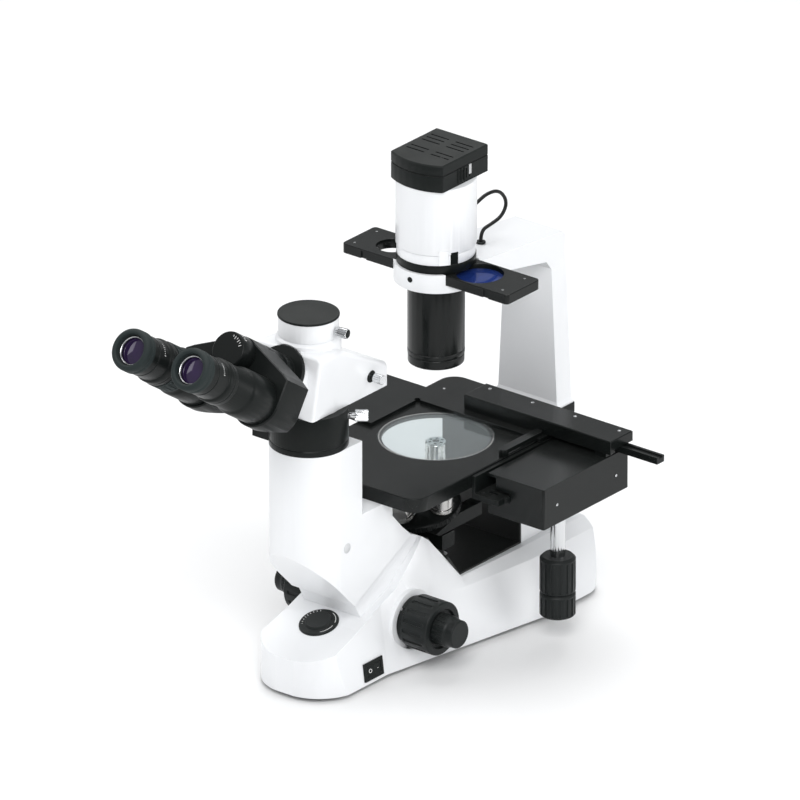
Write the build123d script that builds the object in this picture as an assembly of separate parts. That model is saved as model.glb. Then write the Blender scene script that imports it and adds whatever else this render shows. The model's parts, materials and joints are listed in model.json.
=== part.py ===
from build123d import *
import os
from math import asin, atan, atan2, cos, degrees, pi, radians, sin, sqrt, tan

# Inverted microscope, in millimetres.
# +X is the operator's right, -Y faces the operator, +Z is up.
# The origin is where the objective's optical axis meets the table.

# Clearances and fits
RUNNING = 0.05          # radial gap of a shaft in its bore
SLIDING = 0.3           # gap between pieces that move past each other
SEATED = 0.1            # gap round a piece that is fixed in its seat

# Base casting
FOOT_HEIGHT = 5.0
FOOT_RADIUS = 12.0
FOOT_INSET = 26.0       # foot centre from the casting's outline
BASE_FRONT = -227.0
BASE_REAR = 157.0
NOSE_GROUND_HALF = 50.0
NOSE_SHOULDER_HALF = 43.0
NOSE_TOP_HALF = 35.5
REAR_GROUND_HALF = 84.5
REAR_CORNER = 32.0      # plan radius of the skirt's rear corners
PROW_START = -188.0     # where the nose's plan begins to round to its keel line
REAR_SHOULDER_HALF = 66.0
SHOULDER_HEIGHT = 58.0
NOSE_CREST_HEIGHT = 126.0
FLARE_START = -135.0
FLARE_END = 60.0
REAR_BLOCK_HALF = 46.0
CASTING_WALL = 4.0
COVER_THICKNESS = 3.0
COVER_RIM = 2.0
NOSE_RISE = [(-227, 41), (-204, 49), (-170, 59.5), (-114, 82), (-82, 107), (-68, 119)]

# Nosepiece bay, open to both sides of the base
BAY_FLOOR = 66.0
BAY_FRONT = -24.0
BAY_REAR = 70.0
BAY_SLOPE = [(-60, 113), (-40, 88)]
LINER_THICKNESS = 2.0

# Stage
STAGE_TOP = 187.0
STAGE_THICKNESS = 14.0
STAGE_HALF = 79.0
STAGE_FRONT = -128.0
STAGE_REAR = 123.0
STAGE_CORNER = 17.0
GLASS_RADIUS = 55.0
GLASS_THICKNESS = 3.0
GLASS_LEDGE = 4.0
STAGE_RELIEF_RADIUS = 70.0
STAGE_RELIEF_LEDGE = 3.0
SIDE_HOLE_RADIUS = 2.0
SIDE_HOLE_DEPTH = 9.0
SIDE_HOLE_SPACING = 80.0

# Front column and relay light path
COLUMN_AXIS = -189.5
COLUMN_HALF = 37.4
COLUMN_TOP = 248.0
COLUMN_REAR = -157.0
COLUMN_KEEL = 38.0      # keel line in front of the column's axis
COLUMN_TIP = (-168.5, 83.5)
COLUMN_ROOT = (-84.0, 127.0)
UNDERCUT_FRONT = 144.6
LIMB_REAR = -112.0
LIMB_STEP = 156.0
LIMB_CHAMFER = (-97, 139)
NECK_HALF = 33.5
LOWER_MIRROR_HEIGHT = 36.0
UPPER_MIRROR_HEIGHT = 141.0
RELAY_RADIUS = 13.0
RELAY_BORE = 11.0
MIRROR_RADIUS = 15.0
MIRROR_THICKNESS = 2.5
BEAM_RADIUS = 18.0

# Illumination arm
SPACER_THICKNESS = 10.0
SPACER_HALF = 39.0
SPACER_FRONT = 124.0
SPACER_REAR = 162.0
PILLAR_FRONT = 138.0
PILLAR_REAR = 160.0
PILLAR_FOOT_HALF = 35.0
PILLAR_TOP_HALF = 27.5
ARM_FRONT_HEIGHT = 366.0
ARM_FALL = 15.0         # fall of the arm's top towards the pillar
ARM_DEPTH_REAR = 29.0
ARM_DEPTH_FRONT = 19.0
ARM_FRONT_HALF = 32.0
COLLAR_RADIUS = 40.0
COLLAR_RISE = 2.5       # collar's top above the arm
COLLAR_HEIGHT = 18.5
CONDENSER_RADIUS = 27.0
CONDENSER_LENGTH = 84.0    # below the collar
CONDENSER_WALL = 2.5
COLLAR_LIP = 2.0        # collar between the condenser tube's seat and the slider's slot
HOLDER_HEIGHT = 8.5
SLIDER_LENGTH = 197.0
SLIDER_SHIFT = 5.5      # middle of the slider right of the axis at rest
SLIDER_WIDTH = 49.5
SLIDER_THICKNESS = 9.8
SLIDER_DEPTH = 10.5     # slider's underside below the collar's top
SLIDER_HOLES = [15.5, 20.0, 20.0]   # radii of the left, middle and right stations
SLIDER_RECESS = 22.4
SLIDER_PITCH = 52.0     # spacing of the three slider stations

GUIDE_POST_ANGLE = -24.0   # place of the lamp's locating post round the axis

# Lamp house
LAMP_BASE_RADIUS = 37.0
LAMP_BASE_HEIGHT = 10.5
LAMP_RADIUS = 38.0
LAMP_HEIGHT = 65.5
CAP_HALF = 31.0
CAP_BOW = 9.0
CAP_FRONT = -29.0
CAP_REAR = 39.4
CAP_HEIGHT = 27.0
LAMP_DECK_BORE = 27.0   # opening in the lamp house's top deck
CAP_WALL = 2.5
CAP_GROOVE = 11.2       # depth of the cap's parting groove below its top
VENT_COUNT = 5
LOUVRE_COUNT = 4

# Lamp cable, with heights above the arm's front
CABLE_RADIUS = 1.75
CABLE_PATH = [
    (0, 44.5, 37), (0, 57, 37), (0, 75, 43), (0, 95, 40), (0, 107, 24),
    (0, 99, 12), (0, 83, 9.5), (0, 67, 8), (0, 67, -2.5),
]
CABLE_FILL = 0.45

# Head
RING_RADIUS = 37.3
RING_HEIGHT = 38.0
SPIGOT_RADIUS = 30.0
SPIGOT_DEPTH = 8.0
CLAMP_LUG = [(-48.6, -20.0), (-23.2, -3.0), (1.0, 13.0)]   # X, Y from the ring's axis and Z from its foot
LOCK_ANGLE = 38.0       # head lock screw, turned back from the right
LOCK_SHANK = 3.0
LOCK_LEVEL = 27.0
ROD_RADIUS = 3.0
ROD_PLACE = (-136.4, 18.4)  # pull rod along Y, and above the head's underside
ROD_TRAVEL = 12.0
ROD_REACH = 6.0         # rod outside the head at rest
PRISM_SIZE = 24.0
HEAD_HALF = 30.0
# Places along Y, half-widths at the top and heights of the head's cross-sections
HEAD_SECTIONS = [(-221.0, 40.0, 66.0), (-188.0, 38.5, 64.0), (-111.0, 30.0, 24.0)]
HEAD_EDGE = 5.0
PORT_RADIUS = 28.5
PORT_LOW = 359.0
PORT_HIGH = 377.0
PORT_BORE = 19.0
DUST_CAP_THICKNESS = 2.2
VIEW_ANGLE = 34.0
FLANGE_CENTRE = (0, -231.0, 331.0)
FLANGE_RADIUS = 27.0
FLANGE_THICKNESS = 5.0
HINGE_RADIUS = 18.0
SPINDLE_RADIUS = 11.0
HUB_RADIUS = 17.5
BOX_LOW = 17.0
BOX_HIGH = 72.0
ARM_LOW = 35.0          # far side of the prism housing's arm along the hinge
ARM_CORNERS = [(52.7, -3.9), (60.3, -8.4)]   # upper outer corners of the right arm
ARM_SLANT = [(35.0, -52.0), (58.0, -60.7)]   # along the hinge, and underside of the arm
HUB_HIGH = 93.0
ARM_REACH = 49.6        # hinge axis to eyetube axis
PUPIL_DISTANCE = 70.0
PUPIL_LEAST = 55.0
PUPIL_MOST = 75.0
BOX_RADIUS = 25.5
EYETUBE_RADIUS = 23.0
EYETUBE_LENGTH = 44.0
DIOPTER_LENGTH = 20.0
DIOPTER_RADIUS = 21.8
EYEPIECE_RADIUS = 19.5
EYEPIECE_LENGTH = 54.0
SLEEVE_RADIUS = 15.0
GUARD_RADIUS = 20.5
GUARD_LENGTH = 14.0
EYE_LENS_RADIUS = 12.5

# Nosepiece
TURRET_TILT = 15.0
TURRET_LOW = 12.0       # underside of the turret below the seat level, along its axis
TURRET_RIM = 2.0
TURRET_RADIUS = 38.0
TURRET_ROOM = 10.0      # space round the turret in the front wall of the bay
OBJECTIVE_CIRCLE = 25.0
SEAT_HEIGHT = 137.0
OBJECTIVE_TOP = 180.5
OBJECTIVE_LENGTHS = [43.5, 33.0, 38.5, 43.0]
SHANK_RADIUS = 10.0
SHANK_LENGTH = 4.5
CARRIER_HALF = 36.0
CARRIER_TOP = 122.0
CARRIER_THICKNESS = 13.0
PIVOT_RADIUS = 6.0
FOCUS_BLOCK_TOP = 106.0
FOCUS_BLOCK_LOW = 91.0

# Focus drive
FOCUS_Y = -97.0
FOCUS_Z = 48.0
COARSE_DOWN = 6.0       # travel of the coarse focus below its rest height
RACK_MODULE = 0.75
PINION_TEETH = 16
GUIDE_POST = 3.5
LEG_MIDDLE = 24.0
LEG_HALF = 4.5
LEG_FRONT = -33.0
LEG_REAR = -24.0
BLOCK_REAR = -15.0
POST_Y = -21.0
COARSE_RADIUS = 26.0
COARSE_INNER = 54.0
COARSE_OUTER = 85.0
FINE_OUTER = 106.0
FINE_RADIUS = 15.5
TENSION_RADIUS = 23.0
TENSION_INNER = 48.5
TENSION_BORE = 7.0      # clear of the coarse shaft
TENSION_GAP = 0.8       # between the ring and the coarse knob
COARSE_SHAFT_RADIUS = 4.5
FINE_SHAFT_RADIUS = 2.5
GRIP_COUNT = 16

# Mechanical stage
CARRIAGE_INNER = 88.0
CARRIAGE_OUTER = 154.0
CARRIAGE_FRONT = -32.6
CARRIAGE_REAR = 95.4
CARRIAGE_HEIGHT = 41.0
CARRIAGE_WALL = 3.0
GUIDE_REACH = 112.0
GUIDE_FRONT = -46.0
GUIDE_REAR = 112.0
GUIDE_LOW = 162.0
GUIDE_THICKNESS = 6.0
STAGE_MODULE = 1.0
STAGE_PINION_TEETH = 16
STAGE_RACK_TEETH = 44
DRIVE_Y = 32.0
DRIVE_KNOB_RADIUS = 17.0
DRIVE_KNOB_TOP = 88.0
DRIVE_KNOB_MIDDLE = 52.0
DRIVE_KNOB_LOW = 28.0
DRIVE_SHAFT_RADIUS = 7.0
DRIVE_ROD_RADIUS = 4.0
DRIVE_SHAFT_SEAT = 6.0   # depth of the shaft in the upper knob
BAR_LEFT = -14.5
BAR_RIGHT = 160.0
BAR_FRONT = 60.4
BAR_REAR = 94.0
BAR_TOP = 205.0
BAR_WALL = 3.0
RAIL_LEFT = -22.0
RAIL_RIGHT = 202.0
RAIL_FRONT = 77.0
RAIL_REAR = 88.0
RAIL_HEIGHT = 7.0
PLATE_THICKNESS = 3.2
PLATE_LEFT = -126.0
PLATE_RIGHT = 84.0
PLATE_OPENING_LEFT = -62.0
PLATE_OPENING_REAR = 50.0
PLATE_LEG_FRONT = -20.0
LOBE_CENTRE = (-37.0, 78.0)
LOBE_RADIUS = 26.0
CLIP_WIDTH = 9.0
CLIP_X = 77.0
CLIP_FRONT = 4.5
CLIP_PIVOT_Y = 54.5
CLIP_THICKNESS = 4.0
CLIP_TIP_GAP = 0.6      # clip's tip above the stage
CLIP_PIN_RADIUS = 1.5
X_TRAVEL = 50.0
Y_TRAVEL_FRONT = -45.0
Y_TRAVEL_REAR = 30.0

# Controls and mains parts
DIAL_Y = -175.0
DIAL_RADIUS = 19.0
SWITCH_Y = -155.0
SWITCH_Z = 17.5
SWITCH_LENGTH = 28.0
SWITCH_HEIGHT = 18.0
ROCKER_TILT = 9.0
ROCKER_PIVOT = 3.0      # depth of the rocker's pivot below the flank
INLET_WIDTH = 27.0
INLET_HEIGHT = 20.0
INLET_Z = 34.0

# Derived levels
BASE_LOW = FOOT_HEIGHT
STAGE_BOTTOM = STAGE_TOP - STAGE_THICKNESS
SPACER_LOW = STAGE_TOP - 2 * SPACER_THICKNESS
HEAD_LOW = COLUMN_TOP + RING_HEIGHT + SLIDING
ARM_REAR_HEIGHT = ARM_FRONT_HEIGHT - ARM_FALL
COLLAR_HIGH = ARM_FRONT_HEIGHT + COLLAR_RISE
COLLAR_LOW = COLLAR_HIGH - COLLAR_HEIGHT
CONDENSER_LOW = COLLAR_LOW - CONDENSER_LENGTH
SLIDER_LOW = COLLAR_HIGH - SLIDER_DEPTH
HOLDER_TOP = COLLAR_HIGH + HOLDER_HEIGHT
LAMP_LOW = HOLDER_TOP + LAMP_BASE_HEIGHT
LAMP_TOP = LAMP_LOW + LAMP_HEIGHT
CAP_TOP = LAMP_TOP + CAP_HEIGHT
CABLE_ROUTE = [(x, y, ARM_FRONT_HEIGHT + rise) for x, y, rise in CABLE_PATH]
PLATE_LOW = STAGE_TOP + SLIDING
PLATE_TOP = PLATE_LOW + PLATE_THICKNESS
RACK_PITCH = RACK_MODULE * pi
PINION_RADIUS = RACK_MODULE * PINION_TEETH / 2
STAGE_PINION_RADIUS = STAGE_MODULE * STAGE_PINION_TEETH / 2
DRIVE_X = GUIDE_REACH + STAGE_PINION_RADIUS
TURRET_REACH = OBJECTIVE_CIRCLE / tan(radians(TURRET_TILT))
OBJECTIVE_REACH = OBJECTIVE_CIRCLE / sin(radians(TURRET_TILT))
APEX = SEAT_HEIGHT - OBJECTIVE_REACH
RELAY_SLOPE = atan2(UPPER_MIRROR_HEIGHT - LOWER_MIRROR_HEIGHT, -COLUMN_AXIS)


def box(x0, x1, y0, y1, z0, z1):
    """Block between two corners."""
    return Pos((x0 + x1) / 2, (y0 + y1) / 2, (z0 + z1) / 2) * Box(x1 - x0, y1 - y0, z1 - z0)


def post(radius, z0, z1, x=0.0, y=0.0):
    """Upright cylinder."""
    return Pos(x, y, (z0 + z1) / 2) * Cylinder(radius, z1 - z0)


def side_rod(radius, x0, x1, y, z):
    """Cylinder along X."""
    return Pos((x0 + x1) / 2, y, z) * Rot(0, 90, 0) * Cylinder(radius, abs(x1 - x0))


def side_slab(points, x0, x1):
    """Outline in Y and Z, carried from x0 to x1."""
    face = Plane(origin=(x0, 0, 0), x_dir=(0, 1, 0),
                 z_dir=(1, 0, 0)) * make_face(Polyline(*points, close=True))
    return extrude(face, amount=x1 - x0)


def side_profile(points, half):
    """Outline in Y and Z, carried the same way to both sides."""
    return side_slab(points, -half, half)


def turned(points, frame=None):
    """Body of revolution from (radius, height) points."""
    face = Plane.XZ * make_face(Polyline(*points, close=True))
    shape = revolve(face, Axis.Z, 360)
    return frame * shape if frame else shape


def save(name, shape):
    """Write one named piece."""
    shape.label = name
    export_step(shape, f"parts/{name}.step")


def group(*shapes):
    """Separate solids that share one node."""
    solids = [s for shape in shapes for s in shape.solids()]
    return Compound(children=solids)


def section(y, inset, low):
    """Cross-section of the base at one place along Y."""
    grown = min(max((y - FLARE_START) / (FLARE_END - FLARE_START), 0), 1)
    ground = NOSE_GROUND_HALF + grown * (REAR_GROUND_HALF - NOSE_GROUND_HALF) - inset
    shoulder = NOSE_SHOULDER_HALF + grown * (REAR_SHOULDER_HALF - NOSE_SHOULDER_HALF) - inset
    behind = y > BAY_SLOPE[0][0]
    top = (REAR_BLOCK_HALF if behind else NOSE_TOP_HALF) - inset
    high = (BAY_FLOOR + CASTING_WALL if behind else NOSE_CREST_HEIGHT) - inset
    points = [(-ground, low), (-shoulder, SHOULDER_HEIGHT - inset), (-top, high)]
    points += [(-x, z) for x, z in reversed(points)]
    plane = Plane(origin=(0, y, 0), x_dir=(1, 0, 0), z_dir=(0, -1, 0))
    return plane * make_face(Polyline(*points, close=True))


def keel_arcs(keel, half, start):
    """Two arcs in plan that meet in a keel line at the front."""
    bulge = (half * 0.72, start + (keel - start) * 0.69)
    right = ThreePointArc((0, keel), bulge, (half, start))
    left = ThreePointArc((-half, start), (-bulge[0], bulge[1]), (0, keel))
    return right, left


def base_plan(inset):
    """Plan of the base: rounded prow, straight sides and round rear corners."""
    half, wide, rear = NOSE_GROUND_HALF + 1 - inset, REAR_GROUND_HALF - inset, BASE_REAR - inset
    right, left = keel_arcs(BASE_FRONT + inset, half, PROW_START)
    side = Polyline((half, PROW_START), (wide, FLARE_START), (wide, rear), (-wide, rear),
                    (-wide, FLARE_START),
                    (-half, PROW_START))
    plan = make_face(Wire([right, *side.edges(), left]))
    corners = plan.vertices().sort_by(Axis.Y)[-2:]
    return fillet(corners, REAR_CORNER - inset)


def base_hull(inset, low):
    """Outer form of the base, or the same form drawn inwards."""
    places = [BASE_FRONT, FLARE_START, BAY_SLOPE[0][0], BAY_FRONT, FLARE_END, BASE_REAR - inset]
    body = loft([section(y, inset, low) for y in places], ruled=True)
    return body & extrude(Pos(0, 0, low - 1) * base_plan(inset), amount=STAGE_TOP)


def relay_place(along):
    """Point on the sloping light path, a share of the way to the upper mirror."""
    return (0, COLUMN_AXIS * along, LOWER_MIRROR_HEIGHT + (UPPER_MIRROR_HEIGHT - LOWER_MIRROR_HEIGHT) * along)


def relay_frame(along):
    """Frame on the light path with Z towards the upper mirror."""
    return Plane(origin=relay_place(along), x_dir=(1, 0, 0), z_dir=(0, -cos(RELAY_SLOPE), sin(RELAY_SLOPE)))


def relay_cylinder(radius, start, end):
    """Cylinder along the light path between two shares of its length."""
    length = (end - start) * sqrt(COLUMN_AXIS ** 2 + (UPPER_MIRROR_HEIGHT - LOWER_MIRROR_HEIGHT) ** 2)
    return relay_frame(start) * Pos(0, 0, length / 2) * Cylinder(radius, length)


def mirror_frame(lower):
    """Frame on a mirror's face, with Z out of the reflecting side."""
    beam = (-cos(RELAY_SLOPE), sin(RELAY_SLOPE))
    if lower:
        normal = (beam[0], beam[1] + 1)
        origin = relay_place(0)
    else:
        normal = (-beam[0], 1 - beam[1])
        origin = relay_place(1)
    return Plane(origin=origin, x_dir=(1, 0, 0), z_dir=(0, normal[0], normal[1]))


def column_bottom(y):
    """Height of the seam between the column and the neck below it."""
    slope = (COLUMN_ROOT[1] - COLUMN_TIP[1]) / (COLUMN_ROOT[0] - COLUMN_TIP[0])
    return COLUMN_TIP[1] + slope * (y - COLUMN_TIP[0])


def base_side_outline(low):
    """Side view of the base up to the nose crest, the bay floor and the rear block."""
    bay = [*BAY_SLOPE, (BAY_FRONT, BAY_FLOOR), (BAY_REAR, BAY_FLOOR)]
    return [(BASE_FRONT, low), *NOSE_RISE, *bay, (BASE_REAR, BAY_FLOOR), (BASE_REAR, low)]


def base_casting():
    """White base with the nose, the flared skirt, the rear block and the relay neck."""
    shell = base_hull(0, BASE_LOW) & side_profile(base_side_outline(BASE_LOW), REAR_GROUND_HALF + 1)
    rear = box(-REAR_BLOCK_HALF, REAR_BLOCK_HALF, BAY_REAR, BASE_REAR, BAY_FLOOR - 8, SPACER_LOW)
    rear = fillet(rear.edges().filter_by(Axis.Z).sort_by(Axis.Y)[-2:], 12)
    seat = box(-REAR_BLOCK_HALF, REAR_BLOCK_HALF, BAY_REAR, SPACER_FRONT - SEATED, SPACER_LOW - 1,
               STAGE_BOTTOM)
    neck_points = [(COLUMN_TIP[0] + 3, column_bottom(COLUMN_TIP[0] + 3)), COLUMN_ROOT,
                   (NOSE_RISE[-1][0], NOSE_RISE[-1][1]),
                   (-82, 100), (-114, 74), (COLUMN_TIP[0] + 18, 58)]
    shell = shell + rear + seat + side_profile(neck_points, NECK_HALF)
    for side in (-1, 1):
        face = side * (TENSION_INNER - SLIDING)
        shell = shell + side_rod(TENSION_RADIUS + 6, side * 40, face, FOCUS_Y, FOCUS_Z)
        shell = shell - side_rod(COARSE_RADIUS + 2, face, side * 90, FOCUS_Y, FOCUS_Z)
    # Hollow inside, open below
    wall = CASTING_WALL
    room = [(BASE_FRONT, BASE_LOW - 5), (BASE_FRONT, 36), (-203, 44), (-168, 54), (-112, 76),
            (-84, 98), (-76, 100), (-68, 86), (-46, 74), (BAY_FRONT - 3, BAY_FLOOR - wall),
            (BASE_REAR - wall, BAY_FLOOR - wall),
            (BASE_REAR - wall, BASE_LOW - 5)]
    hollow = base_hull(wall, BASE_LOW - 5) & side_profile(room, REAR_GROUND_HALF)
    shell = shell - hollow
    shell = shell - box(-REAR_BLOCK_HALF + wall, REAR_BLOCK_HALF - wall, BAY_REAR + wall, BASE_REAR - wall,
                        BAY_FLOOR - 9, SPACER_LOW - wall)
    shell = shell - relay_cylinder(RELAY_RADIUS + SEATED, 0.02, 1.2)
    shell = shell - post(RELAY_BORE, BAY_FLOOR - 10, BAY_FLOOR + 5)
    shell = shell - cover_blank(0.0, COVER_THICKNESS)
    shell = shell - side_rod(COARSE_SHAFT_RADIUS + RUNNING, -60, 60, FOCUS_Y, FOCUS_Z)
    shell = shell - leg_slots() - turret_clearance()
    shell = shell - dial_recess() - switch_hole() - inlet_hole()
    return shell


def cover_blank(gap, thickness):
    """Outline of the bottom cover, drawn in from the casting's edge."""
    inset = COVER_RIM + gap
    points = [(-NOSE_GROUND_HALF + inset, BASE_FRONT), (-NOSE_GROUND_HALF + inset, FLARE_START),
              (-REAR_GROUND_HALF + inset, FLARE_END), (-REAR_GROUND_HALF + inset, BASE_REAR)]
    points += [(-x, y) for x, y in reversed(points)]
    plate = extrude(Pos(0, 0, BASE_LOW) * make_face(Polyline(*points, close=True)), amount=thickness)
    return plate & extrude(Pos(0, 0, BASE_LOW - 1) * base_plan(inset), amount=thickness + 2)


def foot_spots():
    """Centres of the four rubber feet."""
    front, rear = PROW_START - 4, BASE_REAR - FOOT_INSET
    return [(side * (half - FOOT_INSET), y) for side in (-1, 1)
            for half, y in ((NOSE_GROUND_HALF, front), (REAR_GROUND_HALF, rear))]


def bottom_cover():
    """Steel plate that closes the base from below."""
    return cover_blank(SEATED, COVER_THICKNESS)


def rubber_feet():
    """Four turned rubber feet under the cover."""
    profile = [(0, 0), (FOOT_RADIUS - 2, 0), (FOOT_RADIUS, FOOT_HEIGHT), (0, FOOT_HEIGHT)]
    return group(*[turned(profile, Pos(x, y, 0)) for x, y in foot_spots()])


def bay_liner():
    """Black folded sheet that lines the floor and the back of the nosepiece bay."""
    t = LINER_THICKNESS
    outer = [*BAY_SLOPE, (BAY_FRONT, BAY_FLOOR), (BAY_REAR, BAY_FLOOR), (BAY_REAR, STAGE_BOTTOM)]
    inner = [(BAY_REAR - t, STAGE_BOTTOM), (BAY_REAR - t, BAY_FLOOR + t), (BAY_FRONT + 1.2, BAY_FLOOR + t),
             (BAY_SLOPE[1][0] + 1.7, BAY_SLOPE[1][1] + 1.2), (BAY_SLOPE[0][0] + 1.7, BAY_SLOPE[0][1] + 1.2)]
    sheet = side_profile([*outer, *inner], REAR_BLOCK_HALF + 0.5)
    nose = box(-60, -NOSE_TOP_HALF - 1, -80, BAY_SLOPE[1][0], BAY_FLOOR, STAGE_BOTTOM)
    sheet = sheet - nose - mirror(nose, Plane.YZ)
    sheet = sheet - post(RELAY_BORE, BAY_FLOOR - 1, BAY_FLOOR + 5)
    return sheet - leg_slots() - turret_clearance()


def leg_slots():
    """Slots through which the legs of the focus slide pass."""
    slots = [box(side * LEG_MIDDLE - LEG_HALF - SLIDING, side * LEG_MIDDLE + LEG_HALF + SLIDING,
                 LEG_FRONT - SLIDING, LEG_REAR + SLIDING, BAY_FLOOR - 12, BAY_FLOOR + 24) for side in (-1, 1)]
    return slots[0] + slots[1]


def stage_plate():
    """Fixed black stage with the seat for the glass insert."""
    plate = box(-STAGE_HALF, STAGE_HALF, STAGE_FRONT, STAGE_REAR, STAGE_BOTTOM, STAGE_TOP)
    plate = fillet(plate.edges().filter_by(Axis.Z), STAGE_CORNER)
    plate = chamfer(plate.faces().sort_by(Axis.Z)[-1].edges(), 0.8)
    glass_low = STAGE_TOP - GLASS_THICKNESS
    plate = plate - post(GLASS_RADIUS + SEATED, glass_low, STAGE_TOP + 1)
    plate = plate - post(GLASS_RADIUS - GLASS_LEDGE, STAGE_BOTTOM - 1, STAGE_TOP)
    relief = post(STAGE_RELIEF_RADIUS, STAGE_BOTTOM - 1, glass_low - STAGE_RELIEF_LEDGE)
    seats = box(-50, 50, BAY_REAR - 3, STAGE_REAR, STAGE_BOTTOM - 2, STAGE_TOP)
    plate = plate - (relief - seats)
    for y in (-SIDE_HOLE_SPACING / 2, SIDE_HOLE_SPACING / 2):
        plate = plate - side_rod(SIDE_HOLE_RADIUS, -STAGE_HALF - 1, -STAGE_HALF + SIDE_HOLE_DEPTH,
                                 y, STAGE_TOP - STAGE_THICKNESS / 2)
    return plate


def glass_insert():
    """Clear round stage insert with a polished edge."""
    disc = post(GLASS_RADIUS, STAGE_TOP - GLASS_THICKNESS, STAGE_TOP)
    return chamfer(disc.edges(), 0.4)


def column_outline():
    """Plan of the column: straight sides and two arcs that meet in a keel line."""
    flank, start = COLUMN_HALF, COLUMN_AXIS + 2
    right, left = keel_arcs(COLUMN_AXIS - COLUMN_KEEL, flank, start)
    back = Polyline((flank, start), (flank, LIMB_REAR), (-flank, LIMB_REAR), (-flank, start))
    return make_face(Wire([right, *back.edges(), left]))


def front_column():
    """White column with its undercut front and the limb under the stage."""
    body = extrude(Pos(0, 0, 60) * column_outline(), amount=COLUMN_TOP - 60)
    front = COLUMN_AXIS - COLUMN_KEEL - 6
    rise = (UNDERCUT_FRONT - COLUMN_TIP[1]) / (COLUMN_AXIS - COLUMN_KEEL - COLUMN_TIP[0])
    low_front = COLUMN_TIP[1] + rise * (front - COLUMN_TIP[0])
    side = [(front, low_front), COLUMN_TIP, COLUMN_ROOT, LIMB_CHAMFER, (LIMB_REAR, LIMB_STEP),
            (LIMB_REAR, STAGE_BOTTOM), (COLUMN_REAR, STAGE_BOTTOM), (COLUMN_REAR, COLUMN_TOP),
            (front, COLUMN_TOP)]
    body = body & side_profile(side, COLUMN_HALF + 1)
    tail = [(LIMB_REAR - 12, column_bottom(LIMB_REAR - 12)), COLUMN_ROOT, LIMB_CHAMFER,
            (LIMB_REAR, LIMB_STEP),
            (LIMB_REAR - 12, LIMB_STEP)]
    body = body + side_profile(tail, COLUMN_HALF)
    body = body - post(BEAM_RADIUS, UPPER_MIRROR_HEIGHT, COLUMN_TOP + 1, 0, COLUMN_AXIS)
    body = body - relay_cylinder(RELAY_RADIUS + SEATED, 0.02, 1.0)
    back = mirror_frame(False)
    body = body - back * Pos(0, 0, 15 - MIRROR_THICKNESS - 0.5) * Cylinder(MIRROR_RADIUS + 1, 30)
    return body


def relay_tube():
    """Sloping tube that carries the image from the lower to the upper mirror."""
    tube = relay_cylinder(RELAY_RADIUS, -0.12, 1.12)
    tube = tube - relay_cylinder(RELAY_BORE, -0.2, 1.2)
    for lower in (True, False):
        keep = mirror_frame(lower) * Pos(0, 0, 200) * Box(400, 400, 400)
        tube = tube & keep
    tube = tube - post(RELAY_BORE, LOWER_MIRROR_HEIGHT, BAY_FLOOR + 20)
    tube = tube - post(RELAY_BORE, UPPER_MIRROR_HEIGHT, UPPER_MIRROR_HEIGHT + 60, 0, COLUMN_AXIS)
    return tube


def fixed_optics():
    """Relay mirrors, tube lens, condenser lens and lamp collector."""
    disc = Pos(0, 0, -MIRROR_THICKNESS / 2) * Cylinder(MIRROR_RADIUS, MIRROR_THICKNESS)
    mirrors = [mirror_frame(lower) * disc for lower in (True, False)]
    lens = relay_frame(0.55) * Cylinder(RELAY_BORE, 4)
    inner = CONDENSER_RADIUS - CONDENSER_WALL
    front = turned([(0, 0), (inner - SEATED, 2), (inner - SEATED, 6), (0, 9)], Pos(0, 0, CONDENSER_LOW + 3))
    rim = inner - 0.6
    collector = turned([(0, 0), (rim, 0), (rim, 2), (0, 9)], Pos(0, 0, HOLDER_TOP))
    return group(*mirrors, lens, front, collector)


def foot_spacer():
    """Black plate between the base and the pillar."""
    plate = box(-SPACER_HALF, SPACER_HALF, SPACER_FRONT, SPACER_REAR, SPACER_LOW,
                SPACER_LOW + SPACER_THICKNESS)
    return fillet(plate.edges().filter_by(Axis.Z), 3)


def arm_outline_across():
    """Front view of the arm, which flares to its foot."""
    foot = SPACER_LOW + SPACER_THICKNESS
    points = [(PILLAR_FOOT_HALF + 2.5, foot), (PILLAR_FOOT_HALF + 2.5, foot + 2),
              (PILLAR_FOOT_HALF, foot + 5),
              (PILLAR_TOP_HALF, ARM_REAR_HEIGHT - 20), (PILLAR_TOP_HALF, ARM_FRONT_HEIGHT + 9)]
    points += [(-x, z) for x, z in reversed(points)]
    return points


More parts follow.
